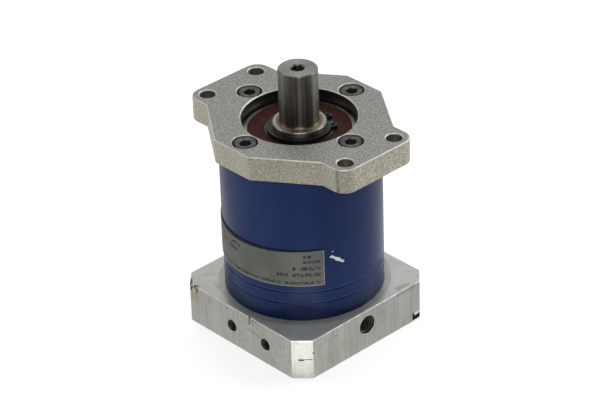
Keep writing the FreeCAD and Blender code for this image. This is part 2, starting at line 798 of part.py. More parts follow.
def name_plate():
    """Thin curved plate on the barrel, a sector of a tube."""
    outside = cylinder("name_plate_outside", "body_radius + name_plate_thickness",
                       "name_plate_bottom", "name_plate_top")
    bind(outside, Angle="name_plate_angle")
    inside = cylinder("name_plate_inside", "body_radius", "name_plate_bottom - cut_overrun",
                      "name_plate_top + cut_overrun")
    plate = cut("name_plate_solid", outside, [inside])
    plate.Placement.Rotation = FreeCAD.Rotation(FreeCAD.Vector(0, 0, 1),
                                                number("name_plate_start_angle"))
    node(plate, "name_plate")


# ---------------------------------------------------------------------------------------------
# Bearings.
# ---------------------------------------------------------------------------------------------
def ball_set(name, circle, ball_radius, count, level):
    """The balls and their cage, which is a ring with a radial pocket for each ball."""
    balls = []
    pockets = []
    for index in range(count):
        x, y = polar(circle, 360.0 * index / count)
        ball = doc.addObject("Part::Sphere", f"{name}_ball_{index + 1}")
        bind(ball, Radius=ball_radius)
        locate(ball, x, y, level)
        balls.append(ball)
        turn = 2 * math.pi * index / count
        start = f"({circle} - 2 * cage_half_thickness)"
        x, y = polar(start, math.degrees(turn))
        pockets.append(cross_hole(f"{name}_pocket_{index + 1}", f"{ball_radius} + pocket_room",
                                  "4 * cage_half_thickness", x, y, level,
                                  (math.cos(turn), math.sin(turn), 0)))
    half_height = f"({ball_radius} + cage_end_wall)"
    ring = tube(name + "_cage_ring", f"{circle} + cage_half_thickness",
                f"{circle} - cage_half_thickness", f"{level} - {half_height}",
                f"{level} + {half_height}")
    node(group(name + "_ball_group", balls), name + "_balls")
    node(cut(name + "_cage_solid", ring, pockets), name + "_cage")


def output_bearing(name, bottom):
    """Deep-groove bearing 30 x 62 x 16 with recesses for rubber seals at both ends."""
    top = f"({bottom} + output_bearing_width)"
    level = f"({bottom} + output_bearing_width / 2)"
    low_recess = f"{bottom} + seal_recess_depth"
    high_recess = f"{top} - seal_recess_depth"
    race = "output_ball_radius + race_room"
    inner = tube(name + "_inner_blank", "output_inner_land", "seat_radius", bottom, top)
    inner_race = torus(name + "_inner_race", "output_ball_circle", race, level)
    raced = cut(name + "_inner_raced", inner, [inner_race])
    beyond = "output_inner_land + cut_overrun"
    steps = [
        tube(name + "_low_step", beyond, "seal_seat_radius", f"{bottom} - cut_overrun", low_recess),
        tube(name + "_high_step", beyond, "seal_seat_radius", high_recess, f"{top} + cut_overrun"),
    ]
    node(cut(name + "_inner_solid", raced, steps), name + "_inner_ring")
    outer = turned(name + "_outer_blank", [
        ("seal_recess_radius", bottom),
        ("output_bearing_radius - edge_chamfer", bottom),
        ("output_bearing_radius", f"{bottom} + edge_chamfer"),
        ("output_bearing_radius", f"{top} - edge_chamfer"),
        ("output_bearing_radius - edge_chamfer", top),
        ("seal_recess_radius", top), ("seal_recess_radius", high_recess),
        ("output_outer_land", high_recess), ("output_outer_land", low_recess),
        ("seal_recess_radius", low_recess),
    ])
    outer_race = torus(name + "_outer_race", "output_ball_circle", race, level)
    node(cut(name + "_outer_solid", outer, [outer_race]), name + "_outer_ring")
    ball_set(name, "output_ball_circle", "output_ball_radius", DIMENSIONS["output_ball_count"], level)


def bearing_seal(name, face, side):
    """Rubber disc seal in an outer ring's recess, thicker at its rim and at its lip."""
    inner_radius = "seal_seat_radius + seal_room"
    back = f"{face} - {side} * seal_recess_depth"
    front = f"{back} + {side} * seal_thickness"
    proud = f"{front} + {side} * seal_bead"
    node(turned(name + "_disc", [
        (inner_radius, f"{back} + {side} * seal_gap"),
        ("seal_recess_radius", f"{back} + {side} * seal_gap"),
        ("seal_recess_radius", proud),
        ("seal_recess_radius - seal_rim_width", proud),
        ("seal_recess_radius - seal_rim_width - seal_slope", front),
        (f"{inner_radius} + seal_lip_width + seal_slope", front),
        (f"{inner_radius} + seal_lip_width", proud),
        (inner_radius, proud),
    ]), name)


def input_bearing():
    """Thin-section bearing 35 x 55 x 10 on the input journal."""
    bottom = "input_bearing_bottom"
    top = "input_bearing_bottom + input_bearing_width"
    level = "(input_bearing_bottom + input_bearing_width / 2)"
    race = "input_ball_radius + race_room"
    inner = tube("input_inner_blank", "input_inner_land", "journal_radius", bottom, top)
    outer = tube("input_outer_blank", "input_bearing_radius", "input_outer_land", bottom, top)
    inner_race = torus("input_inner_race", "input_ball_circle", race, level)
    outer_race = torus("input_outer_race", "input_ball_circle", race, level)
    node(cut("input_inner_solid", inner, [inner_race]), "input_bearing_inner_ring")
    node(cut("input_outer_solid", outer, [outer_race]), "input_bearing_outer_ring")
    ball_set("input_bearing", "input_ball_circle", "input_ball_radius",
             DIMENSIONS["input_ball_count"], level)


# ---------------------------------------------------------------------------------------------
# Input side: sun shaft with its clamping hub.
# ---------------------------------------------------------------------------------------------
def input_shaft():
    """Hollow journal and slit hub for the motor shaft, with the sun gear at the upper end."""
    blank = turned("input_shaft_blank", [
        ("motor_bore_radius + edge_chamfer", "hub_bottom"),
        ("hub_radius - edge_chamfer", "hub_bottom"),
        ("hub_radius", "hub_bottom + edge_chamfer"),
        ("hub_radius", "journal_bottom"),
        ("journal_radius", "journal_bottom"),
        ("journal_radius", "lip_bottom - circlip_room"),
        ("input_groove_radius", "lip_bottom - circlip_room"),
        ("input_groove_radius", "input_bearing_bottom"),
        ("journal_radius", "input_bearing_bottom"),
        ("journal_radius", "input_bearing_bottom + input_bearing_width"),
        ("input_shoulder_radius", "input_bearing_bottom + input_bearing_width"),
        ("input_shoulder_radius", "input_shoulder_top"),
        ("neck_radius", "input_shoulder_top"),
        ("neck_radius", "sun_top"),
        ("0", "sun_top"),
        ("0", "motor_bore_top"),
        ("motor_bore_radius", "motor_bore_top"),
        ("motor_bore_radius", "hub_bottom + edge_chamfer"),
    ])
    sun_teeth = int(number("sun_teeth"))
    sun_wire = toothed_wire(sun_teeth, number("addendum"), number("dedendum"),
                            number("flank_relief"), math.pi / sun_teeth)
    sun = toothed_solid("sun_teeth_solid", sun_wire, "sun_bottom", "sun_top")
    reach = "hub_radius + cut_overrun"
    half_slit = "slit_width / 2"
    slits = [
        box("hub_slit_x", (f"-({reach})", f"-{half_slit}", "hub_bottom - cut_overrun"),
            (reach, half_slit, "slit_top")),
        box("hub_slit_y", (f"-{half_slit}", f"-({reach})", "hub_bottom - cut_overrun"),
            (half_slit, reach, "slit_top")),
    ]
    node(cut("input_shaft_solid", join("input_shaft_whole", [blank, sun]), slits), "input_shaft")
    node(tube("input_circlip_solid", "input_inner_land + input_circlip_lip", "input_groove_radius",
              "lip_bottom", "input_bearing_bottom"), "input_shaft_circlip")


def clamp_ring():
    """Split collar round the slit hub, with a radial clamping screw under the access hole."""
    ring = turned("clamp_ring_blank", [
        ("hub_radius", "clamp_bottom"),
        ("clamp_outer_radius - edge_chamfer", "clamp_bottom"),
        ("clamp_outer_radius", "clamp_bottom + edge_chamfer"),
        ("clamp_outer_radius", "clamp_top - edge_chamfer"),
        ("clamp_outer_radius - edge_chamfer", "clamp_top"),
        ("hub_radius", "clamp_top"),
    ])
    beyond = "-clamp_outer_radius - cut_overrun"
    slit = box("clamp_slit", (beyond, "-slit_width / 2", "clamp_bottom - cut_overrun"),
               ("0", "slit_width / 2", "clamp_top + cut_overrun"))
    thread = cross_hole("clamp_thread", "clamp_screw_radius", "clamp_outer_radius",
                        "clamp_outer_radius + cut_overrun", "0", "access_level", (-1, 0, 0))
    node(cut("clamp_ring_solid", ring, [slit, thread]), "clamp_ring")
    screw_end = "clamp_outer_radius - clamp_screw_sunk"
    screw = cross_hole("clamp_screw_body", "clamp_screw_radius", "clamp_screw_length",
                       screw_end, "0", "access_level", (-1, 0, 0))
    socket = doc.addObject("Part::Prism", "clamp_screw_socket")
    socket.Polygon = 6
    bind(socket, Circumradius="clamp_screw_hex", Height="clamp_screw_length / 2")
    socket.Placement.Rotation = FreeCAD.Rotation(FreeCAD.Vector(0, 0, 1), FreeCAD.Vector(-1, 0, 0))
    locate(socket, screw_end, "0", "access_level")
    node(cut("clamp_screw_solid", screw, [socket]), "clamp_screw")


# ---------------------------------------------------------------------------------------------
# Planet set and output side.
# ---------------------------------------------------------------------------------------------
def planets():
    """Three planet gears, each on a pin with needle rollers and two thrust washers."""
    teeth = int(number("planet_teeth"))
    washers = []
    for index, angle in enumerate(PLANET_ANGLES, start=1):
        x, y = polar("planet_circle", angle)
        facing_sun = math.radians(angle) + math.pi
        wire = toothed_wire(teeth, number("addendum"), number("dedendum"),
                            number("flank_relief"), facing_sun)
        blank = toothed_solid(f"planet_blank_{index}", wire, "planet_bottom", "planet_top",
                              number(x), number(y))
        bore = cylinder(f"planet_bore_{index}", "planet_bore_radius", "planet_bottom - cut_overrun",
                        "planet_top + cut_overrun", x, y)
        node(cut(f"planet_solid_{index}", blank, [bore]), f"planet_gear_{index}")
        node(cylinder(f"pin_solid_{index}", "pin_radius", "pin_bottom", "pin_top", x, y),
             f"planet_pin_{index}")
        rollers = []
        for step in range(DIMENSIONS["roller_count"]):
            turn = 360.0 * step / DIMENSIONS["roller_count"]
            roller_x, roller_y = polar("roller_circle", turn)
            rollers.append(cylinder(f"roller_{index}_{step + 1}", "roller_radius",
                                    "planet_bottom + roller_end_room",
                                    "planet_top - roller_end_room",
                                    f"{x} + {roller_x}", f"{y} + {roller_y}"))
        node(group(f"roller_group_{index}", rollers), f"planet_rollers_{index}")
        for face, end in (("carrier_plate_top", "carrier_plate_top + washer_thickness"),
                          ("carrier_disc_bottom - washer_thickness", "carrier_disc_bottom")):
            washers.append(tube(f"washer_{index}", "washer_outer_radius", "washer_inner_radius",
                                face, end, x, y))
    node(group("washer_group", washers), "planet_washers")


def carrier_plate():
    """Rear half of the planet carrier, screwed to the three columns of the output shaft."""
    disc = tube("carrier_plate_disc", "carrier_radius", "carrier_bore_radius",
                "carrier_plate_bottom", "carrier_plate_top")
    low, high = "carrier_plate_bottom - cut_overrun", "carrier_plate_top + cut_overrun"
    tools = hole_ring("plate_pin_hole", "pin_radius", "planet_circle", PLANET_ANGLES, low, high)
    tools += hole_ring("carrier_hole", f"{shank('M5')} + screw_room", "carrier_screw_circle",
                       COLUMN_ANGLES, low, high)
    tools += hole_ring("carrier_sink", f"{head('M5')} + screw_room", "carrier_screw_circle",
                       COLUMN_ANGLES, low, "carrier_screw_seat")
    node(cut("carrier_plate_solid", disc, tools), "carrier_plate")
    node(screw_ring("carrier_screw_set", "M5", "carrier_screw_circle", COLUMN_ANGLES,
                    "carrier_screw_seat", "carrier_screw_length", head_up=False), "carrier_screws")


def output_shaft():
    """Output shaft in one piece with the carrier's front disc and its three columns."""
    chamfer_level = "shaft_top - centre_hole_chamfer"
    foot = []
    for angle in range(0, 91, 15):
        foot.append((f"shaft_radius + foot_round * (1 - sin({angle}))",
                     f"seat_top + foot_round * (1 - cos({angle}))"))
    blank = turned("output_shaft_blank", [
        ("0", "sun_recess_top"),
        ("sun_recess_radius", "sun_recess_top"),
        ("sun_recess_radius", "carrier_disc_bottom"),
        ("carrier_radius", "carrier_disc_bottom"),
        ("carrier_radius", "carrier_disc_top"),
        ("shoulder_radius", "carrier_disc_top"),
        ("shoulder_radius", "rear_bearing_bottom"),
        ("seat_radius", "rear_bearing_bottom"),
        ("seat_radius", "circlip_bottom"),
        ("groove_radius", "circlip_bottom"),
        ("groove_radius", "circlip_bottom + circlip_thickness + circlip_room"),
        ("seat_radius", "circlip_bottom + circlip_thickness + circlip_room"),
        ("seat_radius", "seat_top - seat_chamfer"),
        ("seat_radius - seat_chamfer", "seat_top"),
        *foot,
        ("shaft_radius", "shaft_top - shaft_chamfer"),
        ("shaft_radius - shaft_chamfer", "shaft_top"),
        ("centre_hole_radius + centre_hole_chamfer", "shaft_top"),
        ("centre_hole_radius", chamfer_level),
        ("centre_hole_radius", "shaft_top - centre_hole_depth"),
        ("0", "shaft_top - centre_hole_depth - centre_hole_radius / 2"),
    ])
    columns = hole_ring("carrier_column", "column_radius", "carrier_screw_circle", COLUMN_ANGLES,
                        "carrier_plate_top", "carrier_disc_bottom + cut_overrun")
    tools = hole_ring("disc_pin_hole", "pin_radius", "planet_circle", PLANET_ANGLES,
                      "carrier_disc_bottom - cut_overrun", "carrier_disc_top + cut_overrun")
    tools += hole_ring("column_thread", shank("M5"), "carrier_screw_circle", COLUMN_ANGLES,
                       "carrier_plate_top - cut_overrun",
                       "carrier_screw_seat + carrier_screw_length + cut_overrun")
    node(cut("output_shaft_solid", join("output_shaft_whole", [blank] + columns), tools),
         "output_shaft")
    node(tube("spacer_solid", "spacer_outer_radius", "seat_radius",
              "rear_bearing_bottom + output_bearing_width", "front_bearing_bottom"),
         "bearing_spacer")


def shaft_circlip():
    """External retaining ring with two drilled lugs either side of its gap."""
    low, high = "circlip_bottom + circlip_room / 2", "circlip_bottom + circlip_thickness"
    gap_middle = "gap_start_angle + gap_angle / 2"
    shift_x, shift_y = polar("-circlip_shift", gap_middle)
    pieces = [cylinder("circlip_disc", "circlip_outer_radius", low, high, shift_x, shift_y)]
    below, above = "circlip_bottom - cut_overrun", "circlip_bottom + circlip_thickness + cut_overrun"
    tools = [cylinder("circlip_bore", "groove_radius", below, above)]
    for angle in ("lug_near_angle", "lug_far_angle"):
        x, y = polar("lug_circle", angle)
        pieces.append(cylinder("circlip_lug", "lug_radius", low, high, x, y))
        tools.append(cylinder("circlip_lug_hole", "lug_hole_radius", below, above, x, y))
    gap = cylinder("circlip_gap", "lug_circle * 2", below, above)
    bind(gap, Angle="gap_angle")
    gap.Placement.Rotation = FreeCAD.Rotation(FreeCAD.Vector(0, 0, 1), number("gap_start_angle"))
    tools.append(gap)
    node(cut("shaft_circlip_solid", join("circlip_whole", pieces), tools), "shaft_circlip")


# ---------------------------------------------------------------------------------------------
# Build, check and write.
# ---------------------------------------------------------------------------------------------
motor_plate()
input_housing()
input_seal()
ring_gear()
gear_housing()
mounting_flange()
name_plate()
input_bearing()
input_shaft()
clamp_ring()
planets()
carrier_plate()
output_shaft()
output_bearing("rear_bearing", "rear_bearing_bottom")
output_bearing("front_bearing", "front_bearing_bottom")
bearing_seal("front_bearing_seal", "(front_bearing_bottom + output_bearing_width)", 1)
bearing_seal("front_bearing_back_seal", "front_bearing_bottom", -1)
shaft_circlip()
doc.recompute()

for thing in doc.Objects:
    if "Invalid" in thing.State or "Error" in thing.State:
        raise RuntimeError(f"{thing.Name} failed: {thing.State}")
for part in nodes:
    if part.Shape.isNull() or not part.Shape.isValid() or not part.Shape.Solids:
        raise RuntimeError(f"{part.Label} has no valid solid")

os.makedirs("parts", exist_ok=True)
for part in nodes:
    part.Shape.exportStep(os.path.join("parts", part.Label + ".step"))
    solids = len(part.Shape.Solids)
    print(f"{part.Label:28s} solids {solids:2d}  volume {part.Shape.Volume:10.1f}")
print(len(nodes), "nodes")
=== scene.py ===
import json
import math

import bpy
from mathutils import Matrix, Vector


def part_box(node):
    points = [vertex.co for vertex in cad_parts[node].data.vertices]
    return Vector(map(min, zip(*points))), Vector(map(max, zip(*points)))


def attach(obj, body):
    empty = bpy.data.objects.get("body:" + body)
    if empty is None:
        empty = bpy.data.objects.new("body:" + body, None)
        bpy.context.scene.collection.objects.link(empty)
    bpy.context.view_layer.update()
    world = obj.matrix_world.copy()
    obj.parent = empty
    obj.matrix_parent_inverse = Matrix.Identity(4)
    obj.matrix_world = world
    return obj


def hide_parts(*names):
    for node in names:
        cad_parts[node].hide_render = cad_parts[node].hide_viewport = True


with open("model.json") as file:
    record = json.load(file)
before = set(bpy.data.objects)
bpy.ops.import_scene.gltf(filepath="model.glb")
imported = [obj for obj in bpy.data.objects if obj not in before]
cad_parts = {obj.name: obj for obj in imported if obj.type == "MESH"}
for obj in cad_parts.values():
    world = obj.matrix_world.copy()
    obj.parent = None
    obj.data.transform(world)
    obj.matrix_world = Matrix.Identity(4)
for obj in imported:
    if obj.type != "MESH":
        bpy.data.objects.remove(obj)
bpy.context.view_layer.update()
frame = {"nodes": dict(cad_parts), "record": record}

MM = 0.001
HOUSING, OUTPUT = "housing", "output"


# ---------------------------------------------------------------------------------------------
# Sizes that the looks depend on, read from the frame.
# ---------------------------------------------------------------------------------------------
def mount(name):
    return next(item for item in frame["record"]["mounts"] if item["name"] == name)


def low_z(node):
    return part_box(node)[0].z


def high_z(node):
    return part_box(node)[1].z


PLATE_TOP = high_z("motor_plate")
PLATE_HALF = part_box("motor_plate")[1].x
BARREL_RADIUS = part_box("gear_housing")[1].x
BARREL_JOINTS = (low_z("gear_housing"), low_z("ring_gear"))
FLANGE_TOP = high_z("mounting_flange")
SHAFT_TOP = high_z("output_shaft")
SHAFT_RADIUS = mount("output_shaft")["dims"]["r_mm"] * MM
LABEL_BOTTOM, LABEL_TOP = low_z("name_plate"), high_z("name_plate")
BEARING_TOP = high_z("front_bearing_outer_ring")

EAR_HOLES = mount("flange_bolts")["dims"]
EAR_HOLE_RADIUS = EAR_HOLES["hole_r_mm"] * MM
EAR_HOLE_X = EAR_HOLES["spacing_x_mm"] * MM / 2
EAR_HOLE_Y = EAR_HOLES["spacing_y_mm"] * MM / 2

SIDE_THREADS = mount("side_threads")
SIDE_HOLE_RADIUS = SIDE_THREADS["dims"]["hole_r_mm"] * MM
SIDE_HOLE_LEVEL = SIDE_THREADS["pos_m"][2]
SIDE_HOLES_X = [SIDE_THREADS["pos_m"][0] + share * SIDE_THREADS["dims"]["spacing_x_mm"] * MM
                for share in (-0.5, 0.5)]
ACCESS_HOLE_RADIUS = mount("clamp_access")["dims"]["r_mm"] * MM
ACCESS_HOLE_LEVEL = mount("clamp_access")["pos_m"][2]

# Places inside a CAD part, which the frame doesn't name. They repeat the CAD's own sizes.
FLANGE_BORE_RADIUS = 32.0 * MM
BEARING_SEAT_TOP = 126.5 * MM
LABEL_RADIUS = BARREL_RADIUS + 0.5 * MM

# Socket numbers of a Mix node, whose socket names repeat for each data type.
MIX_FACTOR, MIX_NUMBERS, MIX_COLORS, MIX_COLOR_RESULT = 0, (2, 3), (6, 7), 2


# ---------------------------------------------------------------------------------------------
# A small writer of shader graphs. Numbers go on sockets, sockets are linked.
# ---------------------------------------------------------------------------------------------
class Graph:
    """One procedural material. Coordinates are the row frame's, in metres. Masks are 0 to 1."""

    def __init__(self, name, **uniform):
        self.material = bpy.data.materials.new(name)
        self.material.use_nodes = True
        self.tree = self.material.node_tree
        self.shader = self.tree.nodes["Principled BSDF"]
        for socket, value in uniform.items():
            self.shader.inputs[socket.replace("_", " ")].default_value = value
        self.position = self.add("ShaderNodeTexCoord").outputs["Object"]
        split = self.add("ShaderNodeSeparateXYZ", Vector=self.position)
        self.x, self.y, self.z = split.outputs
        self.normal = self.add("ShaderNodeNewGeometry").outputs["Normal"]

    def add(self, kind, settings=None, **inputs):
        node = self.tree.nodes.new(kind)
        for name, value in (settings or {}).items():
            setattr(node, name, value)
        for name, value in inputs.items():
            self.feed(node.inputs[name], value)
        return node

    def feed(self, socket, value):
        if isinstance(value, bpy.types.NodeSocket):
            self.tree.links.new(value, socket)
        elif socket.type == "RGBA" and len(value) == 3:
            socket.default_value = (*value, 1.0)
        else:
            socket.default_value = value

    def set(self, **inputs):
        """Feed the principled shader's sockets."""
        for name, value in inputs.items():
            self.feed(self.shader.inputs[name.replace("_", " ")], value)

    # Numbers and masks.
    def math(self, operation, *values):
        node = self.add("ShaderNodeMath", {"operation": operation})
        for socket, value in zip(node.inputs, values):
            self.feed(socket, value)
        return node.outputs[0]

    def remap(self, value, low, high, to_low=0.0, to_high=1.0, kind="SMOOTHSTEP"):
        """Step from low to high, smooth unless another kind is named."""
        node = self.add("ShaderNodeMapRange", {"interpolation_type": kind})
        sockets = ("Value", "From Min", "From Max", "To Min", "To Max")
        for name, item in zip(sockets, (value, low, high, to_low, to_high)):
            self.feed(node.inputs[name], item)
        return node.outputs[0]

    def band(self, value, low, high, soft):
        """One between low and high, falling off over the soft width outside."""
        return self.both(self.remap(value, low - soft, low),
                         self.remap(value, high, high + soft, 1.0, 0.0))

    def both(self, first, second):
        """One where two masks are both one."""
        return self.math("MULTIPLY", first, second)

    def most(self, *values):
        """Largest of several masks."""
        result = values[0]
        for value in values[1:]:
            result = self.math("MAXIMUM", result, value)
        return result

    def average(self, first, second):
        return self.math("MULTIPLY", self.math("ADD", first, second), 0.5)

    def blend(self, factor, first, second):
        """Mix of two plain numbers."""
        node = self.add("ShaderNodeMix", {"data_type": "FLOAT"})
        self.feed(node.inputs[MIX_FACTOR], factor)
        for index, value in zip(MIX_NUMBERS, (first, second)):
            self.feed(node.inputs[index], value)
        return node.outputs[0]

    # Places on the surface.
    def hypotenuse(self, first, second):
        squares = self.math("ADD", self.math("POWER", first, 2.0), self.math("POWER", second, 2.0))
        return self.math("SQRT", squares)

    def radius(self):
        """Distance from the Z axis."""
        return self.hypotenuse(self.x, self.y)

    def angle(self):
        """Azimuth about Z in radians."""
        return self.math("ARCTAN2", self.y, self.x)

    def arc(self):
        """Length round the barrel from the X axis, in metres."""
        return self.math("MULTIPLY", self.angle(), BARREL_RADIUS)

    def upward(self):
        """The Z part of the surface's normal."""
        return self.add("ShaderNodeSeparateXYZ", Vector=self.normal).outputs[2]

    def vector(self, x, y, z):
        return self.add("ShaderNodeCombineXYZ", X=x, Y=y, Z=z).outputs[0]

    def vector_math(self, operation, first, second=None, result="Vector"):
        node = self.add("ShaderNodeVectorMath", {"operation": operation})
        self.feed(node.inputs[0], first)
        if second is not None:
            self.feed(node.inputs[1], second)
        return node.outputs[result]

    def scaled(self, vector, factor):
        node = self.add("ShaderNodeVectorMath", {"operation": "SCALE"})
        self.feed(node.inputs[0], vector)
        self.feed(node.inputs["Scale"], factor)
        return node.outputs["Vector"]

    def near(self, start, end=None):
        """Distance in metres from a point, or from the straight line between two, given in mm."""
        first = Vector(start) * MM
        offset = self.vector_math("SUBTRACT", self.position, first)
        if end is not None:
            run = Vector(end) * MM - first
            share = self.vector_math("DOT_PRODUCT", offset, run / run.length_squared, "Value")
            share = self.remap(share, 0.0, 1.0, kind="LINEAR")
            offset = self.vector_math("SUBTRACT", offset, self.scaled(run, share))
        return self.vector_math("LENGTH", offset, None, "Value")

    # Textures.
    def stretch(self, x, y, z, vector=None):
        node = self.add("ShaderNodeMapping", Vector=vector or self.position)
        node.inputs["Scale"].default_value = (x, y, z)
        return node.outputs[0]

    def noise(self, scale, detail=3.0, roughness=0.5, vector=None):
        node = self.add("ShaderNodeTexNoise", Vector=vector or self.position, Scale=scale,
                        Detail=detail, Roughness=roughness)
        return node.outputs["Fac"]

    def turned(self, scale, detail=2.0, roughness=0.5, level=0.0):
        """Rings about Z, as a lathe leaves them. A level makes them differ along the axis too."""
        return self.noise(scale, detail, roughness, self.vector(self.radius(), level, 0.0))

    def cells(self, scale):
        node = self.add("ShaderNodeTexVoronoi", Vector=self.position, Scale=scale)
        return node.outputs["Distance"]

    def ragged(self, scale, reach, roughness=0.65):
        """Signed offset in metres that makes an outline uneven."""
        centred = self.math("SUBTRACT", self.noise(scale, 4.0, roughness), 0.5)
        return self.math("MULTIPLY", centred, 2 * reach)

    def mark(self, reach, start, end=None, uneven=0.5, soft=0.12):
        """One within reach (mm) of a point or line, with a ragged outline."""
        away = self.math("ADD", self.near(start, end), self.ragged(900.0, uneven * reach * MM))
        return self.remap(away, (reach + soft) * MM, (reach - soft) * MM)

    def marks(self, rows):
        return self.most(*(self.mark(*row) for row in rows))

    # Colours and relief.
    def mix(self, factor, first, second):
        node = self.add("ShaderNodeMix", {"data_type": "RGBA"})
        self.feed(node.inputs[MIX_FACTOR], factor)
        for index, value in zip(MIX_COLORS, (first, second)):
            self.feed(node.inputs[index], value)
        return node.outputs[MIX_COLOR_RESULT]

    def shade(self, value, low, high, dark, light):
        """Dark where the value is below low, light where it is above high."""
        return self.mix(self.remap(value, low, high), dark, light)

    def tinted(self, color, mask, share, tint):
        """The colour, moved by the given share towards a tint where the mask is one."""
        return self.mix(self.math("MULTIPLY", mask, share), color, tint)

    def bump(self, height, depth, base=None):
        """Normal of a height field whose full range is depth metres."""
        node = self.add("ShaderNodeBump", Height=height, Distance=depth)
        if base is not None:
            self.feed(node.inputs["Normal"], base)
        return node.outputs[0]


# ---------------------------------------------------------------------------------------------
# Materials. Each one's uniform numbers are set on the shader; the rest comes from its nodes.
# ---------------------------------------------------------------------------------------------
def blue_paint():
    """Dark blue enamel outside, bare machined metal inside, with a chip, a scuff, painted highlights
    above the joints and painted shade at the foot.
    """
    g = Graph("blue_paint", Specular_IOR_Level=0.17, Coat_Weight=0.03, Coat_Roughness=0.12)
    deep_blue, clear_blue = (0.0070, 0.0225, 0.108), (0.0125, 0.038, 0.160)
    groove_blue, ridge_highlight_blue, foot_shade_blue = (0.002, 0.003, 0.010), (0.09, 0.16, 0.42), (0.003, 0.008, 0.042)
    filler_white, rubbed_blue = (0.86, 0.85, 0.82), (0.25, 0.30, 0.40)
    bare_dark, bare_light = (0.16, 0.16, 0.14), (0.27, 0.27, 0.245)
    groove, ridge = 0.20 * MM, 0.35 * MM
    foot_low, foot_high = PLATE_TOP - 3 * MM, PLATE_TOP + 17 * MM
    paint_skin = BARREL_RADIUS - 0.6 * MM

    arc = g.arc()
    sheet = g.vector(arc, g.z, g.radius())
    tone = g.noise(30.0, 4.0, vector=g.stretch(1, 0.25, 1, sheet))
    paint = g.shade(tone, 0.3, 0.7, deep_blue, clear_blue)
    grooves = g.most(*(g.band(g.z, joint - groove, joint + groove, 0.1 * MM)
                       for joint in BARREL_JOINTS))
    paint = g.tinted(paint, grooves, 0.8, groove_blue)
    # Painted highlight: a lighter blue band just above each joint, where the upper part's chamfer catches
    # light.
    ridge_highlights = g.most(*(g.band(g.z, joint + groove + ridge, joint + groove + 2 * ridge, 0.2 * MM)
                      for joint in BARREL_JOINTS))
    paint = g.tinted(paint, ridge_highlights, 0.3, ridge_highlight_blue)
    # Painted shade: the blue darkens towards the barrel's foot, next to the motor plate.
    paint = g.tinted(paint, g.remap(g.z, foot_high, foot_low), 0.85, foot_shade_blue)

    chip = paint_chip(g, arc)
    paint = g.mix(chip, paint, filler_white)
    scuff = paint_scuff(g, arc)
    paint = g.tinted(paint, scuff, 0.22, rubbed_blue)

    painted = g.remap(g.radius(), paint_skin - 0.15 * MM, paint_skin)
    bare = g.mix(g.turned(2600.0, level=g.z), bare_dark, bare_light)
    g.set(Base_Color=g.mix(painted, bare, paint))
    g.set(Metallic=g.blend(painted, 0.9, 0.0))

    haze = g.noise(60.0, 5.0, 0.6, vector=g.stretch(1, 0.35, 1, sheet))
    gloss = g.remap(haze, 0.3, 0.75, 0.24, 0.36)
    gloss = g.blend(g.most(chip, scuff), gloss, 0.65)
    g.set(Roughness=g.blend(painted, 0.38, gloss))
    relief = g.bump(g.noise(260.0, 1.0), 0.004 * MM)
    g.set(Normal=g.bump(g.math("MULTIPLY", chip, -1.0), 0.08 * MM, relief))
    return g.material


def paint_chip(g, arc):
    """Ragged patch where the paint has flaked off, with a stray fleck above it."""
    middle_arc, middle_z = math.radians(-19.0) * BARREL_RADIUS, 62.5 * MM
    fleck_arc, fleck_z = math.radians(-22.2) * BARREL_RADIUS, 67.4 * MM
    tilt = math.radians(-36.0)
    soft = 0.15 * MM
    ragged = g.ragged(420.0, 1.6 * MM, 0.7)
    across = g.math("SUBTRACT", arc, middle_arc)
    upward = g.math("SUBTRACT", g.z, middle_z)
    along = g.math("ADD", g.math("MULTIPLY", across, math.cos(tilt)),
                   g.math("MULTIPLY", upward, math.sin(tilt)))
    aside = g.math("SUBTRACT", g.math("MULTIPLY", upward, math.cos(tilt)),
                   g.math("MULTIPLY", across, math.sin(tilt)))
    patch = g.both(g.band(g.math("ADD", along, ragged), -4.6 * MM, 5.0 * MM, soft),
                   g.band(g.math("ADD", aside, ragged), -0.75 * MM, 0.6 * MM, soft))
    fleck = g.both(g.band(arc, fleck_arc - 0.35 * MM, fleck_arc + 0.25 * MM, soft),
                   g.band(g.z, fleck_z, fleck_z + 0.5 * MM, soft))
    outside = g.remap(g.radius(), BARREL_RADIUS - 0.3 * MM, BARREL_RADIUS - 0.2 * MM)
    return g.both(g.most(patch, fleck), outside)


def paint_scuff(g, arc):
    """Faint hooked rub mark near the top of the barrel: the upper part of a tall ring."""
    centre_arc, centre_z = math.radians(-104.0) * BARREL_RADIUS, 96.0 * MM
    width_to_height = 0.6
    across = g.math("SUBTRACT", arc, centre_arc)
    upward = g.math("MULTIPLY", g.math("SUBTRACT", g.z, centre_z), width_to_height)
    ring = g.band(g.hypotenuse(across, upward), 1.5 * MM, 1.8 * MM, 0.35 * MM)
    return g.both(ring, g.remap(upward, -0.5 * MM, 0.6 * MM))


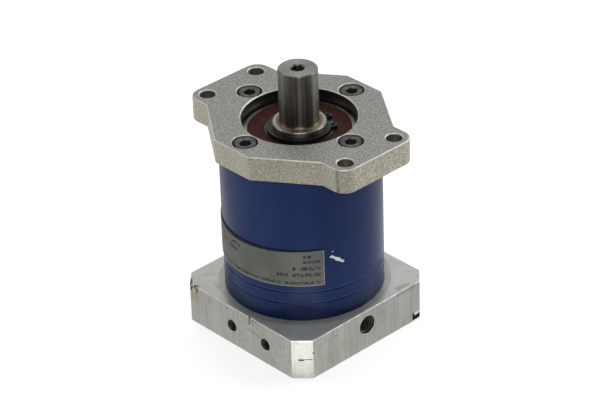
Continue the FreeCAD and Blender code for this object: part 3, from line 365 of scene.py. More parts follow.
def blasted_metal():
    """Bead-blasted flange; its bore is turned, so smoother. Painted light and shade: lighter sides,
    bright chamfers, dark bore and hole walls.
    """
    g = Graph("blasted_metal", Metallic=0.9, Specular_IOR_Level=0.4)
    grain_dark, grain_light = (0.165, 0.164, 0.148), (0.43, 0.427, 0.40)
    side_dark, side_light = (0.45, 0.405, 0.315), (0.84, 0.80, 0.69)
    patch_brown, flange_highlight_white, rust_brown = (0.30, 0.27, 0.20), (0.92, 0.92, 0.90), (0.17, 0.115, 0.055)
    bore_shade_dark, bore_shade_light, hole_wall_shade_grey = (0.060, 0.058, 0.046), (0.105, 0.100, 0.084), (0.13, 0.125, 0.11)
    rust_foot, rust_head = (57.0, -26.3, 116.0), (56.6, -26.8, 127.5)

    grain = g.noise(850.0, 4.0, 0.75)
    speckle = g.average(grain, g.noise(2300.0, 2.0, 0.6))
    body = g.shade(speckle, 0.41, 0.59, grain_dark, grain_light)
    # Sides: a tan tint, which is their own colour, and a tone much lighter than the top, which is painted
    # light.
    tan_and_side_light = g.shade(g.noise(1000.0, 4.0, 0.7), 0.36, 0.64, side_dark, side_light)
    body = g.tinted(body, g.remap(g.upward(), 0.75, 0.3), 0.8, tan_and_side_light)
    body = g.tinted(body, g.remap(g.noise(38.0, 3.0), 0.5, 0.72), 0.15, patch_brown)
    # Painted highlight: the slanted chamfer faces are tinted towards near white.
    flange_chamfer_highlight = g.both(g.remap(g.upward(), 0.45, 0.6), g.remap(g.upward(), 0.97, 0.85))
    body = g.tinted(body, flange_chamfer_highlight, 0.75, flange_highlight_white)
    body = g.tinted(body, g.mark(0.9, rust_foot, rust_head, 0.6, 0.8), 0.55, rust_brown)

    # Painted shade: the turned bore is painted very dark.
    bore = g.remap(g.radius(), FLANGE_BORE_RADIUS + 0.1 * MM, FLANGE_BORE_RADIUS + 0.02 * MM)
    body = g.mix(bore, body, g.mix(g.turned(1500.0, level=g.z), bore_shade_dark, bore_shade_light))
    # Painted shade on the ear holes' walls.
    g.set(Base_Color=g.tinted(body, ear_hole_walls(g), 0.7, hole_wall_shade_grey))
    g.set(Roughness=g.blend(bore, g.remap(grain, 0.3, 0.7, 0.44, 0.58), 0.30))
    pits = g.bump(speckle, 0.05 * MM)
    g.set(Normal=g.bump(g.noise(300.0, 3.0), 0.02 * MM, pits))
    return g.material


def ear_hole_walls(g):
    """One on the walls of the ears' four holes, below their chamfers, where painted shade goes."""
    reach, chamfer = EAR_HOLE_RADIUS + 0.05 * MM, 0.4 * MM
    away = g.hypotenuse(g.math("SUBTRACT", g.math("ABSOLUTE", g.x), EAR_HOLE_X),
                        g.math("SUBTRACT", g.math("ABSOLUTE", g.y), EAR_HOLE_Y))
    return g.both(g.remap(away, reach + 0.1 * MM, reach),
                  g.remap(g.z, FLANGE_TOP - chamfer, FLANGE_TOP - 2 * chamfer))


# Wear on the motor plate, placed to look like the photo's. Each row is one mark: reach in
# mm, start and end in mm (a spot has no end), how uneven its outline is and how soft its edge is.
DENTS = (
    (1.0, (8.2, -50, 24.6), None, 0.6),
    (1.5, (-36.6, -49.7, 24.7), None, 0.9),
    (0.5, (-39.4, -50, 24.2), (-40.6, -50, 21.8), 0.8),
    (0.35, (-25.0, -50, 21.4), None, 0.8),
    (0.5, (-35.4, -50, 23.8), (-35.9, -50, 21.3), 0.6),
    (1.2, (-41.6, -49.6, 24.9), (-44.5, -47.0, 25.0), 0.6),
    (0.45, (-10.4, -50, 22.6)),
    (0.7, (20.9, -50, 0.4)),
    (0.55, (50, -24.2, 19.9)),
    (0.5, (49.9, -41.3, 17.1)),
    (0.45, (44.4, -47.1, 12.6), (46.0, -45.5, 12.4)),
)
SCRATCHES = (
    (0.35, (8.0, -50, 24.0), (7.6, -50, 20.2), 0.9),
    (0.3, (9.6, -50, 24.4), (13.8, -50, 24.0), 0.9),
    (0.22, (8.4, -50, 23.0), (11.0, -50, 21.0), 0.9),
    (0.16, (46.0, -45.5, 12.7), (49.6, -41.9, 12.9), 0.3, 0.08),
    (0.14, (5.3, -50, 16.9), (16.6, -50, 15.5), 0.4, 0.08),
)
BRIGHT_NICKS = (
    (0.5, (9.1, -49.9, 24.8)),
    (0.5, (-36.0, -49.8, 24.6)),
    (0.4, (44.6, -46.9, 24.6), (49.6, -41.9, 24.6), 0.6),
)
RUBS = (
    (1.3, (46.5, 27.5, 25), (47.5, 34.0, 25), 0.7, 0.7),
    (1.0, (50, 24.0, 23.6), (50, 37.0, 23.9), 0.8, 0.6),
)
TAN_STAIN = (3.0, (-40.5, -50, 18.5), (-36.5, -50, 17.5), 0.5, 1.6)


def plate_aluminium():
    """Milled aluminium: upright saw marks on the sides, a turned top, dents and stains. Painted
    highlights on the chamfers, painted shade beside the barrel, in the bore, holes and notch.
    """
    g = Graph("plate_aluminium", Specular_IOR_Level=0.4)
    side_dark, side_light = (0.42, 0.42, 0.395), (0.57, 0.57, 0.54)
    blotch_tan, smudge_pale = (0.40, 0.375, 0.31), (0.68, 0.69, 0.68)
    top_dark, top_light = (0.53, 0.535, 0.505), (0.64, 0.645, 0.615)
    stain_grey, smear_grey, barrel_shade_grey = (0.43, 0.43, 0.385), (0.36, 0.36, 0.325), (0.22, 0.21, 0.185)
    plate_highlight_white, inside_shade_grey = (0.88, 0.88, 0.86), (0.16, 0.155, 0.15)
    register_width = 3.6 * MM
    inside_low, inside_high = 29.5 * MM, 31.0 * MM

    level = g.math("ABSOLUTE", g.upward())
    upright = g.remap(level, 0.8, 0.4)
    fine = g.noise(1100.0, 3.0, 0.6, vector=g.stretch(1, 1, 0.02))
    broad = g.noise(150.0, 4.0, 0.6, vector=g.stretch(1, 1, 0.12))
    streak = g.blend(0.4, fine, broad)
    sides = g.shade(streak, 0.38, 0.62, side_dark, side_light)
    sides = g.mix(g.remap(g.noise(46.0, 5.0, 0.6), 0.45, 0.68, 0.0, 0.55), sides, blotch_tan)
    sides = g.mix(g.remap(g.noise(330.0, 4.0, 0.65), 0.52, 0.72, 0.0, 0.35), sides, smudge_pale)

    rings = g.average(g.turned(1300.0, 3.0, 0.55), g.turned(260.0))
    face = g.shade(rings, 0.3, 0.7, top_dark, top_light)
    stain = g.remap(g.noise(70.0, 5.0, 0.65), 0.42, 0.72, 0.0, 0.4)
    face = g.mix(stain, face, stain_grey)
    smears = g.remap(g.noise(130.0, 5.0, 0.7, vector=g.stretch(1, 1.6, 1)), 0.5, 0.66, 0.0, 0.45)
    face = g.mix(smears, face, smear_grey)
    # Painted shade: a darker ring on the top face around the barrel's foot.
    barrel_shade_ring = g.band(g.radius(), BARREL_RADIUS, BARREL_RADIUS + register_width, 0.4 * MM)
    face = g.tinted(face, barrel_shade_ring, 0.35, barrel_shade_grey)
    color = g.mix(upright, face, sides)

    # Painted highlight: the chamfers are tinted towards near white, unevenly along their length.
    plate_chamfer_highlight = g.both(g.remap(level, 0.4, 0.6), g.remap(level, 0.9, 0.78))
    highlight_strength = g.remap(g.noise(160.0, 4.0, 0.65), 0.36, 0.6, 0.75, 0.1)
    color = g.mix(g.both(plate_chamfer_highlight, highlight_strength), color, plate_highlight_white)
    color, dents = plate_marks(g, color)
    # Painted shade inside the plate's bore.
    color = g.tinted(color, g.remap(g.radius(), inside_high, inside_low), 0.5, inside_shade_grey)
    g.set(Base_Color=color, Metallic=g.blend(upright, 0.5, 0.92))

    side_rough = g.remap(streak, 0.35, 0.65, 0.34, 0.48)
    face_rough = g.remap(rings, 0.35, 0.65, 0.27, 0.36)
    face_rough = g.math("ADD", face_rough, g.math("MULTIPLY", g.most(stain, smears), 0.25))
    g.set(Roughness=g.blend(upright, face_rough, side_rough))
    relief = g.blend(upright, g.math("MULTIPLY", rings, 0.3), streak)
    relief = g.bump(relief, 0.014 * MM)
    g.set(Normal=g.bump(g.math("MULTIPLY", dents, -1.0), 0.25 * MM, relief))
    return g.material


def plate_marks(g, color):
    """Dents, scratches and stains of the motor plate, and painted shade on its cross holes' walls. Also
    returns the dents.
    """
    stain_tan, rub_grey, dent_black = (0.42, 0.31, 0.17), (0.25, 0.25, 0.23), (0.028, 0.026, 0.024)
    nick_bright, hole_wall_shade_black = (0.95, 0.95, 0.93), (0.035, 0.034, 0.032)
    color = g.tinted(color, g.mark(*TAN_STAIN), 0.45, stain_tan)
    color = g.tinted(color, g.marks(RUBS), 0.5, rub_grey)
    specks = g.both(g.remap(g.cells(190.0), 0.05, 0.025), g.remap(g.noise(45.0, 2.0), 0.54, 0.62))
    dents = g.most(specks, g.marks(DENTS), g.marks(SCRATCHES))
    color = g.tinted(color, dents, 0.9, dent_black)
    color = g.mix(g.marks(BRIGHT_NICKS), color, nick_bright)
    # Painted shade: the walls of the cross holes are painted near black.
    hole_wall_shade = g.most(*(g.remap(g.near(start, end), (reach + 0.25) * MM, reach * MM)
                     for start, end, reach in plate_holes()))
    color = g.mix(hole_wall_shade, color, hole_wall_shade_black)
    return notch_shade(g, color), dents


def plate_holes():
    """Axes of the cross holes in the motor plate, from a little below the surface, and radii, in mm."""
    half = PLATE_HALF / MM
    sunk = 0.9
    level = ACCESS_HOLE_LEVEL / MM
    holes = [((half - sunk, 0, level), (half / 2, 0, level), ACCESS_HOLE_RADIUS / MM)]
    level = SIDE_HOLE_LEVEL / MM
    for place in SIDE_HOLES_X:
        x = place / MM
        holes.append(((x, sunk - half, level), (x, -half / 2, level), SIDE_HOLE_RADIUS / MM))
    return holes


def notch_shade(g, color):
    """The shallow notch at the plate's lower edge is painted near black as shade, so that it looks deep,
    with a pale painted highlight in it.
    """
    notch_shade_black, notch_highlight_pale = (0.010, 0.010, 0.010), (0.85, 0.85, 0.82)
    soft = 0.1 * MM
    top = 5.9 * MM
    back = g.both(g.band(g.x, 48.8 * MM, 49.8 * MM, soft), g.band(g.y, 35.3 * MM, 43.2 * MM, soft))
    notch_shade_mask = g.both(back, g.remap(g.z, top, top - soft))
    # Painted highlight: a pale fleck on the notch's back wall.
    fleck = g.both(notch_shade_mask, g.mark(1.0, (49, 39.0, 3.9), (49, 41.6, 4.2), 0.4, 0.3))
    return g.mix(fleck, g.mix(notch_shade_mask, color, notch_shade_black), notch_highlight_pale)


def shaft_steel():
    """Ground steel shaft: painted reflection bands and a painted reflection line along it, a faced end, a
    painted brown-gold glint at the foot and painted shade in its centre hole.
    """
    g = Graph("shaft_steel", Metallic=1.0, Anisotropic=0.9, Anisotropic_Rotation=0.25)
    reflection_band_dark, reflection_band_light, ground_light = (0.145, 0.133, 0.115), (0.225, 0.215, 0.195), (0.30, 0.29, 0.27)
    facing_reflection_brown, foot_glint_brown = (0.085, 0.048, 0.028), (0.17, 0.125, 0.065)
    end_dark, end_light = (0.22, 0.213, 0.19), (0.35, 0.34, 0.305)
    seat_grey, centre_hole_shade_black = (0.36, 0.355, 0.32), (0.05, 0.046, 0.042)
    step = SHAFT_RADIUS + 2 * MM
    bore_radius = 3.5 * MM

    end = g.both(g.remap(g.upward(), 0.8, 0.95),
                 g.remap(g.z, SHAFT_TOP - MM, SHAFT_TOP - 0.8 * MM))
    # Painted reflection: dark and light bands round the shaft; the same pattern sets its roughness.
    around = g.vector(g.math("COSINE", g.angle()), g.math("SINE", g.angle()), 0.0)
    reflection_bands = g.noise(5.5, 4.0, 0.7, vector=around)
    ground = g.noise(3000.0, 2.0, 0.6, vector=g.stretch(0.02, 0.02, 1))
    body = g.shade(reflection_bands, 0.36, 0.64, reflection_band_dark, reflection_band_light)
    body = g.mix(g.remap(ground, 0.35, 0.65, 0.0, 0.25), body, ground_light)
    # Painted reflection: a dark brown line down the side of the shaft that faces the camera.
    line = g.band(g.angle(), math.radians(-50), math.radians(-47), 0.07)
    body = g.tinted(body, line, 0.75, facing_reflection_brown)
    facing = g.turned(2400.0)
    color = g.mix(end, body, g.shade(facing, 0.3, 0.7, end_dark, end_light))

    # Painted highlight: a brown-gold glint on the fillet at the shaft's foot.
    foot_glint = g.both(g.remap(g.z, BEARING_SEAT_TOP + 2.6 * MM, BEARING_SEAT_TOP + 1.2 * MM),
                  g.remap(g.radius(), step + 0.2 * MM, step - 0.2 * MM))
    color = g.tinted(color, foot_glint, 0.8, foot_glint_brown)
    seat = g.both(g.remap(g.z, BEARING_SEAT_TOP + 0.2 * MM, BEARING_SEAT_TOP + 0.1 * MM),
                  g.remap(g.radius(), step - 0.2 * MM, step + 0.2 * MM))
    color = g.tinted(color, seat, 0.8, seat_grey)
    # Painted shade: the centre hole is painted near black.
    color = g.mix(g.remap(g.radius(), bore_radius + 0.2 * MM, bore_radius), color, centre_hole_shade_black)
    g.set(Base_Color=color)
    g.set(Roughness=g.blend(end, g.remap(reflection_bands, 0.3, 0.7, 0.27, 0.37), 0.44))
    tangent = g.add("ShaderNodeTangent", {"direction_type": "RADIAL", "axis": "Z"})
    g.set(Tangent=tangent.outputs[0])
    g.set(Normal=g.bump(g.blend(end, ground, facing), 0.003 * MM))
    return g.material


def plain_steel(name, dark, light, rough, relief_mm=0.01):
    """Machined steel with turning marks and slight mottling, darker where the bearing shows."""
    g = Graph(name, Metallic=1.0)
    film_brown, inner_dark = (0.22, 0.18, 0.12), (0.055, 0.06, 0.063)
    shown_radius, shown_depth = 21.0 * MM, 1.5 * MM
    rings = g.turned(1900.0, level=g.z)
    film = g.noise(90.0, 4.0, 0.6)
    color = g.shade(rings, 0.3, 0.7, dark, light)
    color = g.mix(g.remap(film, 0.5, 0.8, 0.0, 0.3), color, film_brown)
    shown = g.both(g.remap(g.radius(), shown_radius + MM, shown_radius),
                   g.remap(g.z, BEARING_TOP - 2 * shown_depth, BEARING_TOP - shown_depth))
    g.set(Base_Color=g.mix(shown, color, inner_dark))
    g.set(Roughness=g.remap(film, 0.3, 0.7, rough, rough + 0.12))
    g.set(Normal=g.bump(rings, relief_mm * MM))
    return g.material


def black_oxide():
    """Blackened steel, a little brown where it has been handled. The shaft's circlip is darkest."""
    g = Graph("black_oxide", Metallic=0.75)
    black, worn_brown, circlip_black = (0.055, 0.055, 0.057), (0.135, 0.126, 0.12), (0.022, 0.023, 0.025)
    circlip_reach = 25.0 * MM
    grain = g.noise(2200.0, 3.0, 0.6)
    color = g.shade(g.noise(300.0, 4.0, 0.6), 0.4, 0.7, black, worn_brown)
    circlip = g.remap(g.radius(), circlip_reach + 2 * MM, circlip_reach)
    g.set(Base_Color=g.mix(circlip, color, circlip_black))
    g.set(Roughness=g.remap(grain, 0.3, 0.7, 0.34, 0.48))
    g.set(Normal=g.bump(grain, 0.012 * MM))
    return g.material


def seal_rubber():
    """Brown-red nitrile with faint radial wipe marks, darker near its lip."""
    g = Graph("seal_rubber", Specular_IOR_Level=0.07)
    red_dark, red_light, inner_dark = (0.028, 0.0085, 0.0064), (0.082, 0.022, 0.0155), (0.030, 0.012, 0.010)
    lip_radius = 19.3 * MM
    spokes = g.vector(g.math("MULTIPLY", g.angle(), 2.2), g.math("MULTIPLY", g.radius(), 12.0), 0.0)
    rays = g.noise(9.0, 4.0, 0.6, vector=spokes)
    color = g.shade(rays, 0.35, 0.68, red_dark, red_light)
    near_lip = g.remap(g.radius(), lip_radius + 2.7 * MM, lip_radius)
    g.set(Base_Color=g.tinted(color, near_lip, 0.6, inner_dark))
    g.set(Roughness=g.remap(rays, 0.3, 0.7, 0.42, 0.62))
    g.set(Normal=g.bump(g.noise(900.0, 2.0), 0.02 * MM))
    return g.material


def soft_plastic(name, dark, light, rough):
    """Moulded polymer with a fine texture."""
    g = Graph(name, Specular_IOR_Level=0.4)
    g.set(Base_Color=g.shade(g.noise(150.0, 3.0), 0.3, 0.7, dark, light))
    grain = g.noise(1800.0, 2.0)
    g.set(Roughness=g.remap(grain, 0.3, 0.7, rough, rough + 0.15))
    g.set(Normal=g.bump(grain, 0.015 * MM))
    return g.material


# Rows of marks on the name plate: height above its lower edge and mark height in mm, first and
# last azimuth in degrees, and the share of the row that is dark.
PRINT_ROWS = (
    (16.6, 2.0, -126, -92, 0.62),
    (13.0, 2.0, -124, -95, 0.62),
    (10.0, 1.6, -126, -116, 0.60),
    (18.0, 1.6, -43, -38, 0.85),
    (14.6, 1.8, -44, -31.5, 0.62),
    (10.4, 2.1, -51, -31.5, 0.66),
    (6.2, 2.1, -62, -31.5, 0.66),
    (1.5, 1.5, -122, -31.5, 0.60),
)


def label_foil():
    """Silvery foil with rows of small dark marks, a black upper edge and a worn surface."""
    g = Graph("label_foil", Metallic=0.30, Specular_IOR_Level=0.4)
    foil_dark, foil_light, weave_dark = (0.145, 0.149, 0.134), (0.205, 0.209, 0.189), (0.13, 0.132, 0.115)
    ink_black, scratch_dark = (0.016, 0.016, 0.016), (0.03, 0.03, 0.03)
    border_light, edge_black = (0.42, 0.42, 0.40), (0.006, 0.006, 0.007)

    arc = g.arc()
    tone = g.noise(70.0, 4.0)
    weave = g.noise(1500.0, 3.0, 0.7)
    foil = g.shade(tone, 0.3, 0.7, foil_dark, foil_light)
    foil = g.mix(g.remap(weave, 0.35, 0.65, 0.0, 0.35), foil, weave_dark)
    color = g.tinted(foil, label_print(g, arc), 0.88, ink_black)
    color = g.mix(label_scratch(g), color, scratch_dark)
    color = g.tinted(color, label_border(g, arc), 0.7, border_light)
    color = g.mix(label_upper_edge(g, arc), color, edge_black)
    g.set(Base_Color=color)
    g.set(Roughness=g.remap(tone, 0.3, 0.7, 0.48, 0.6))
    g.set(Normal=g.bump(weave, 0.015 * MM))
    return g.material


def label_print(g, arc):
    """Random dark cells in rows, three cells high, broken into words. They spell nothing."""
    cell_width, cells_high = 0.62 * MM, 3
    soft = 0.1 * MM
    ink = 0.0
    for level, height, start, end, density in PRINT_ROWS:
        low = LABEL_BOTTOM + level * MM
        row = g.band(g.z, low, low + height * MM, soft)
        first, last = (math.radians(angle) * BARREL_RADIUS for angle in (start, end))
        reach = g.band(arc, first, last, soft)
        column = g.math("FLOOR", g.math("DIVIDE", arc, cell_width))
        line = g.math("FLOOR", g.math("DIVIDE", g.math("SUBTRACT", g.z, low),
                                      height * MM / cells_high))
        seed = g.vector(column, line, level)
        dots = g.add("ShaderNodeTexWhiteNoise", {"noise_dimensions": "3D"}, Vector=seed)
        dark = g.math("LESS_THAN", dots.outputs["Value"], density)
        words = g.remap(g.noise(230.0, 0.0, vector=g.vector(arc, level, 3.0)), 0.36, 0.40)
        ink = g.most(ink, g.both(g.both(row, reach), g.both(dark, words)))
    return ink


def label_scratch(g):
    """One short dark scratch, between two places given as azimuth in degrees and height in mm."""
    radius = LABEL_RADIUS / MM
    ends = [(radius * math.cos(math.radians(angle)), radius * math.sin(math.radians(angle)), height)
            for angle, height in ((-68.5, 69.0), (-64.5, 66.2))]
    return g.mark(0.22, *ends, 0.3)


def label_border(g, arc):
    """Thin pale line along the right and lower edges."""
    last = math.radians(-28.7) * BARREL_RADIUS
    return g.most(g.remap(arc, last - 0.5 * MM, last - 0.3 * MM),
                  g.remap(g.z, LABEL_BOTTOM + 0.45 * MM, LABEL_BOTTOM + 0.25 * MM))


def label_upper_edge(g, arc):
    """Dark strip along the upper edge, which gets narrower towards the right."""
    left, right = math.radians(-105) * BARREL_RADIUS, math.radians(-30) * BARREL_RADIUS
    strip = g.remap(arc, left, right, 1.9 * MM, 0.35 * MM)
    return g.remap(g.math("SUBTRACT", g.z, g.math("SUBTRACT", LABEL_TOP, strip)), 0.0, 0.12 * MM)


MATERIALS = {
    "blue_paint": blue_paint(),
    "blasted_metal": blasted_metal(),
    "plate_aluminium": plate_aluminium(),
    "shaft_steel": shaft_steel(),
    "gear_steel": plain_steel("gear_steel", (0.33, 0.325, 0.31), (0.48, 0.47, 0.45), 0.24),
    "bearing_steel": plain_steel("bearing_steel", (0.36, 0.36, 0.345), (0.48, 0.48, 0.46), 0.24, 0.004),
    "black_oxide": black_oxide(),
    "seal_rubber": seal_rubber(),
    "black_rubber": soft_plastic("black_rubber", (0.012, 0.012, 0.013), (0.024, 0.024, 0.025), 0.45),
    "cage_polyamide": soft_plastic("cage_polyamide", (0.52, 0.48, 0.36), (0.62, 0.58, 0.46), 0.38),
    "label_foil": label_foil(),
}
# The threads in the holes get near-black steel: painted shade of the deep holes.
HOLE_THREAD_SHADE = plain_steel("hole_thread_shade", (0.05, 0.048, 0.044), (0.10, 0.098, 0.09), 0.35)

for part in frame["record"]["subparts"]:
    data = frame["nodes"][part["node"]].data
    data.materials.clear()
    data.materials.append(MATERIALS[part["material_slot"]])


# ---------------------------------------------------------------------------------------------
# Pieces made here: cap screws, which replace the CAD's plain ones, and threads in the open holes.
# ---------------------------------------------------------------------------------------------
def mesh_piece(name, points, faces, slot, body, sharp_angle):
    data = bpy.data.meshes.new(name)
    data.from_pydata(points, [], faces)
    data.validate()
    for polygon in data.polygons:
        polygon.use_smooth = True
    data.set_sharp_from_angle(angle=math.radians(sharp_angle))
    data.materials.append(MATERIALS[slot])
    piece = bpy.data.objects.new(name, data)
    bpy.context.scene.collection.objects.link(piece)
    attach(piece, body)
    return piece


def lofted(loops, count, origin, flip):
    """Closed skin through loops of (radius as a function of angle, height), poles at both ends."""
    points = [Vector((0, 0, loops[0][1]))]
    faces = []
    for shape, height in loops[1:-1]:
        for step in range(count):
            angle = 2 * math.pi * step / count
            reach = shape(angle)
            points.append(Vector((reach * math.cos(angle), reach * math.sin(angle), height)))
    points.append(Vector((0, 0, loops[-1][1])))
    last = len(points) - 1
    rings = len(loops) - 2
    for step in range(count):
        after = (step + 1) % count
        faces.append((0, 1 + after, 1 + step))
        for ring in range(rings - 1):
            low, high = 1 + ring * count, 1 + (ring + 1) * count
            faces.append((low + step, low + after, high + after, high + step))
        top = 1 + (rings - 1) * count
        faces.append((top + step, top + after, last))
    side = -1 if flip else 1
    points = [origin + Vector((p.x, side * p.y, side * p.z)) for p in points]
    return points, faces


def cap_screws(name, node, size, length, circle, angles, seat, flip):
    """Hexagon socket cap screws with knurled heads, as one piece of separate solids."""
    head, height, key, shank = size
    flutes, steps_per_flute = 36, 6
    knurl_depth, rim_depth, top_chamfer = 0.22 * MM, 0.5 * MM, 0.75 * MM
    tip_chamfer, tip_height = 0.7 * MM, 0.8 * MM
    socket_floor, socket_mouth, mouth_chamfer = 0.38 * height, 0.60 * key, 0.35 * MM

    def plain(radius):
        return lambda angle: radius

    def knurled(angle):
        return head - knurl_depth / 2 * (1 + math.cos(flutes * angle))

    def hexagon(angle):
        turn = (angle + math.pi / 6) % (math.pi / 3) - math.pi / 6
        return key / 2 / math.cos(turn)

    # From the shank's tip up the outside, over the head and down into its socket. Zero is the
    # seat under the head, and most heights on the head are shares of its height.
    loops = [
        (None, -length),
        (plain(shank - tip_chamfer), -length), (plain(shank), tip_height - length),
        (plain(shank), 0.0),
        (plain(head - rim_depth), 0.0), (plain(head - knurl_depth), 0.3 * MM),
        (knurled, 0.45 * MM), (knurled, height * 0.80),
        (plain(head - knurl_depth), height * 0.83), (plain(head - 0.30 * MM), height * 0.90),
        (plain(head - top_chamfer), height), (plain(socket_mouth), height),
        (hexagon, height - mouth_chamfer), (hexagon, height * 0.48),
        (plain(key * 0.30), height * 0.44), (None, socket_floor),
    ]
    points, faces = [], []
    for angle in angles:
        place = Vector((circle * math.cos(math.radians(angle)),
                        circle * math.sin(math.radians(angle)), seat))
        some_points, some_faces = lofted(loops, flutes * steps_per_flute, place, flip)
        shift = len(points)
        points += some_points
        faces += [tuple(index + shift for index in face) for face in some_faces]
    piece = mesh_piece(name, points, faces, "black_oxide", HOUSING, sharp_angle=35.0)
    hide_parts(node)


def thread(name, radius, pitch, depth, mouth, direction, slot, body):
    """Internal thread: a triangular ridge wound on the wall of a hole, from its mouth inwards."""
    steps_per_turn = 40
    ridge, half_width = 0.55 * pitch, 0.42 * pitch
    sunk_radius = radius + 0.06 * MM
    start = 0.6 * pitch
    count = int(steps_per_turn * (depth - start - pitch) / pitch)
    axis = Vector(direction).normalized()
    first = axis.orthogonal().normalized()
    second = axis.cross(first)
    points, faces = [], []
    for step in range(count + 1):
        angle = 2 * math.pi * step / steps_per_turn
        along = start + pitch * step / steps_per_turn
        grown = min(1.0, step / steps_per_turn, (count - step) / steps_per_turn)
        outward = first * math.cos(angle) + second * math.sin(angle)
        section = ((sunk_radius, -half_width), (radius - ridge * grown, 0.0), (sunk_radius, half_width))
        for reach, offset in section:
            points.append(Vector(mouth) + outward * reach + axis * (along + offset))
    for step in range(count):
        for corner in range(3):
            after = (corner + 1) % 3
            a, b = 3 * step + corner, 3 * step + after
            faces.append((a, b, b + 3, a + 3))
    faces.append((2, 1, 0))
    faces.append((3 * count, 3 * count + 1, 3 * count + 2))
    piece = mesh_piece(name, points, faces, slot, body, sharp_angle=25.0)
    # The thread takes the dark material, painted shade in its hole.
    piece.data.materials[0] = HOLE_THREAD_SHADE


# Screws: head radius, head height, width across the socket's flats, shank radius.
M8_SCREW = (6.5 * MM, 8.0 * MM, 6.0 * MM, 4.0 * MM)
M6_SCREW = (5.0 * MM, 6.0 * MM, 5.0 * MM, 3.0 * MM)
SCREW_LENGTH = 25 * MM
FLANGE_SCREW_CIRCLE, PLATE_SCREW_CIRCLE = 40.0 * MM, 38.0 * MM
cap_screws("flange_cap_screws", "flange_screws", M8_SCREW, SCREW_LENGTH, FLANGE_SCREW_CIRCLE,
           (0, 90, 180, 270), low_z("flange_screws") + SCREW_LENGTH, False)
cap_screws("plate_cap_screws", "plate_screws", M6_SCREW, SCREW_LENGTH, PLATE_SCREW_CIRCLE,
           (45, 135, 225, 315), high_z("plate_screws") - SCREW_LENGTH, True)

M8_PITCH, ACCESS_PITCH = 1.25 * MM, 1.5 * MM
SIDE_DEPTH, ACCESS_DEPTH, CENTRE_DEPTH, MOTOR_DEPTH = 14 * MM, 14 * MM, 17 * MM, 16 * MM
CENTRE_CHAMFER = 0.8 * MM
for index, x in enumerate(SIDE_HOLES_X, start=1):
    thread(f"side_thread_{index}", SIDE_HOLE_RADIUS, M8_PITCH, SIDE_DEPTH,
           (x, -PLATE_HALF, SIDE_HOLE_LEVEL), (0, 1, 0), "plate_aluminium", HOUSING)
thread("access_thread", ACCESS_HOLE_RADIUS, ACCESS_PITCH, ACCESS_DEPTH,
       (PLATE_HALF, 0, ACCESS_HOLE_LEVEL), (-1, 0, 0), "plate_aluminium", HOUSING)
thread("centre_thread", mount("shaft_centre_thread")["dims"]["r_mm"] * MM, M8_PITCH, CENTRE_DEPTH,
       (0, 0, SHAFT_TOP - CENTRE_CHAMFER), (0, 0, -1), "shaft_steel", OUTPUT)
motor_bolts = mount("motor_bolts")["dims"]
for index, (x_side, y_side) in enumerate(((1, 1), (-1, 1), (-1, -1), (1, -1)), start=1):
    reach = motor_bolts["spacing_x_mm"] * MM / 2
    thread(f"motor_thread_{index}", motor_bolts["hole_r_mm"] * MM, M8_PITCH, MOTOR_DEPTH,
           (x_side * reach, y_side * reach, 0), (0, 0, 1), "plate_aluminium", HOUSING)


# ---------------------------------------------------------------------------------------------
# Stage: camera, floor, world and lights. The camera sees a white backdrop and floor, while the
# light that they send to the object is uneven, brighter from behind than from the front.
# ---------------------------------------------------------------------------------------------

# The camera, from a fit of the object's edges in the photo: distances in metres, lens and sensor
# in mm. It looks at a point beside the Z axis, to the camera's right, and at a height.
CAMERA_AZIMUTH = math.radians(47.51)
CAMERA_ELEVATION = math.radians(31.2)
CAMERA_ROLL = math.radians(-2.0)
CAMERA_DISTANCE = 1.4207
CAMERA_LENS, CAMERA_SENSOR = 153.73, 36.0
AIM_SIDE, AIM_HEIGHT = -1.19 * MM, 75.5 * MM
FAR_CLIP = 50.0

# The world's light, as grey levels. It grows along a direction (to the right, away).
WORLD_TOWARDS = (0.25, 0.9)
WORLD_DIM, WORLD_BRIGHT = (0.10, 0.10, 0.10, 1), (0.83, 0.84, 0.83, 1)
WORLD_BRIGHT_FROM = 0.75

# The floor. Distances along the view are in metres from the object's axis, away positive.
FLOOR_REACH = 6.0
FLOOR_GLOW = 0.53
FRONT_FADE = (-0.32, -0.12)
FADED_LIGHT, FULL_LIGHT, PATCH_LIGHT = (0.30, 0.30, 0.30), (0.72, 0.73, 0.72), (2.3, 2.3, 2.25)
PATCH_PLACE_MM, PATCH_REACH = -102.0, 0.045

# Lights: place as metres to the right, away and up, width and height in metres, and watts.
LIGHT_AIM = Vector((0, 0, 0.08))
LIGHTS = {
    "overhead": ((0.0, 0.35, 1.1), (1.0, 0.8), 3.5),
    "front_fill": ((0.0, -0.9, 0.9), (0.8, 0.5), 4.4),
    "side_right": ((0.9, 0.15, 0.45), (0.5, 0.8), 2.0),
    "side_left": ((-0.9, 0.1, 0.5), (0.4, 0.8), 1.0),
}


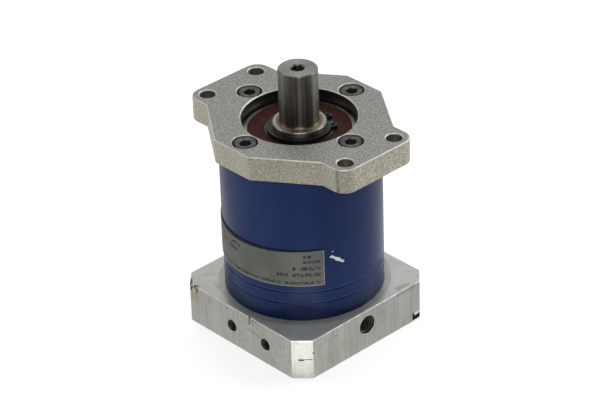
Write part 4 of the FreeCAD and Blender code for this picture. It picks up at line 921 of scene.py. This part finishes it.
def make_camera():
    """The camera, which looks at the object's middle. Returns its right and backward directions."""
    flat = math.cos(CAMERA_ELEVATION)
    back = Vector((math.sin(CAMERA_AZIMUTH) * flat, -math.cos(CAMERA_AZIMUTH) * flat,
                   math.sin(CAMERA_ELEVATION)))
    right = Vector((math.cos(CAMERA_AZIMUTH), math.sin(CAMERA_AZIMUTH), 0))
    up = back.cross(right)
    turned_right = right * math.cos(CAMERA_ROLL) + up * math.sin(CAMERA_ROLL)
    turned_up = up * math.cos(CAMERA_ROLL) - right * math.sin(CAMERA_ROLL)
    data = bpy.data.cameras.new("camera")
    data.sensor_fit = "HORIZONTAL"
    data.sensor_width = CAMERA_SENSOR
    data.lens = CAMERA_LENS
    data.clip_end = FAR_CLIP
    camera = bpy.data.objects.new("camera", data)
    bpy.context.scene.collection.objects.link(camera)
    place = right * AIM_SIDE + Vector((0, 0, AIM_HEIGHT)) + back * CAMERA_DISTANCE
    turn = Matrix((turned_right, turned_up, back)).transposed()
    camera.matrix_world = Matrix.Translation(place) @ turn.to_4x4()
    bpy.context.scene.camera = camera
    return right, back


def area_light(name, place, size, power):
    data = bpy.data.lights.new(name, "AREA")
    data.shape = "RECTANGLE"
    data.size, data.size_y = size
    data.energy = power
    light = bpy.data.objects.new(name, data)
    bpy.context.scene.collection.objects.link(light)
    light.location = place
    light.rotation_euler = (LIGHT_AIM - place).to_track_quat("-Z", "Y").to_euler()


def shown_or_lighting(tree, shown, lighting, kind):
    """Mix two shaders: the first is what is seen directly, the second is what lights the object."""
    path = tree.nodes.new("ShaderNodeLightPath")
    mix = tree.nodes.new("ShaderNodeMixShader")
    tree.links.new(path.outputs["Is Camera Ray"], mix.inputs[0])
    tree.links.new(lighting.outputs[0], mix.inputs[1])
    tree.links.new(shown.outputs[0], mix.inputs[2])
    output = next(node for node in tree.nodes if node.type == kind)
    tree.links.new(mix.outputs[0], output.inputs["Surface"])


def make_world(right, away):
    """White backdrop. It lights the object from behind and the right, and the front stays dim."""
    world = bpy.data.worlds.new("studio")
    bpy.context.scene.world = world
    world.use_nodes = True
    tree = world.node_tree
    coordinate = tree.nodes.new("ShaderNodeTexCoord")
    facing = tree.nodes.new("ShaderNodeVectorMath")
    facing.operation = "DOT_PRODUCT"
    tree.links.new(coordinate.outputs["Generated"], facing.inputs[0])
    facing.inputs[1].default_value = right * WORLD_TOWARDS[0] + away * WORLD_TOWARDS[1]
    ramp = tree.nodes.new("ShaderNodeValToRGB")
    tree.links.new(facing.outputs["Value"], ramp.inputs[0])
    dim, bright = ramp.color_ramp.elements
    dim.position, dim.color = 0.0, WORLD_DIM
    bright.position, bright.color = WORLD_BRIGHT_FROM, WORLD_BRIGHT
    lighting = tree.nodes["Background"]
    tree.links.new(ramp.outputs[0], lighting.inputs["Color"])
    shown = tree.nodes.new("ShaderNodeBackground")
    shown.inputs["Color"].default_value = (1, 1, 1, 1)
    shown_or_lighting(tree, shown, lighting, "OUTPUT_WORLD")


def floor_material(away):
    """White paper. The light that it sends to the object fades towards the front, apart from one
    brighter patch before the motor plate's front corner, which the camera doesn't see."""
    g = Graph("white_floor", Specular_IOR_Level=0.1, Roughness=0.7, Emission_Strength=FLOOR_GLOW,
              Emission_Color=(1.0, 1.0, 1.0, 1.0))
    g.set(Base_Color=g.mix(g.noise(700.0, 3.0), (0.80, 0.81, 0.81), (0.84, 0.84, 0.84)))
    forward = g.vector_math("DOT_PRODUCT", g.position, away, "Value")
    light = g.mix(g.remap(forward, *FRONT_FADE), FADED_LIGHT, FULL_LIGHT)
    patch = g.remap(g.near(away * PATCH_PLACE_MM), PATCH_REACH, 0.3 * PATCH_REACH)
    bounce = g.add("ShaderNodeEmission", Color=g.mix(patch, light, PATCH_LIGHT))
    shown_or_lighting(g.tree, g.shader, bounce, "OUTPUT_MATERIAL")
    return g.material


def make_floor(away):
    data = bpy.data.meshes.new("floor")
    corners = [(x * FLOOR_REACH, y * FLOOR_REACH, 0) for x, y in ((-1, -1), (1, -1), (1, 1), (-1, 1))]
    data.from_pydata(corners, [], [(0, 1, 2, 3)])
    data.materials.append(floor_material(away))
    floor = bpy.data.objects.new("floor", data)
    bpy.context.scene.collection.objects.link(floor)


view_right, view_back = make_camera()
view_away = Vector((-view_back.x, -view_back.y, 0)).normalized()
make_world(view_right, view_away)
make_floor(view_away)
for name, ((right, away, up), size, power) in LIGHTS.items():
    area_light(name, view_right * right + view_away * away + Vector((0, 0, up)), size, power)

bpy.context.scene.view_settings.view_transform = "Standard"
bpy.context.scene.view_settings.look = "None"
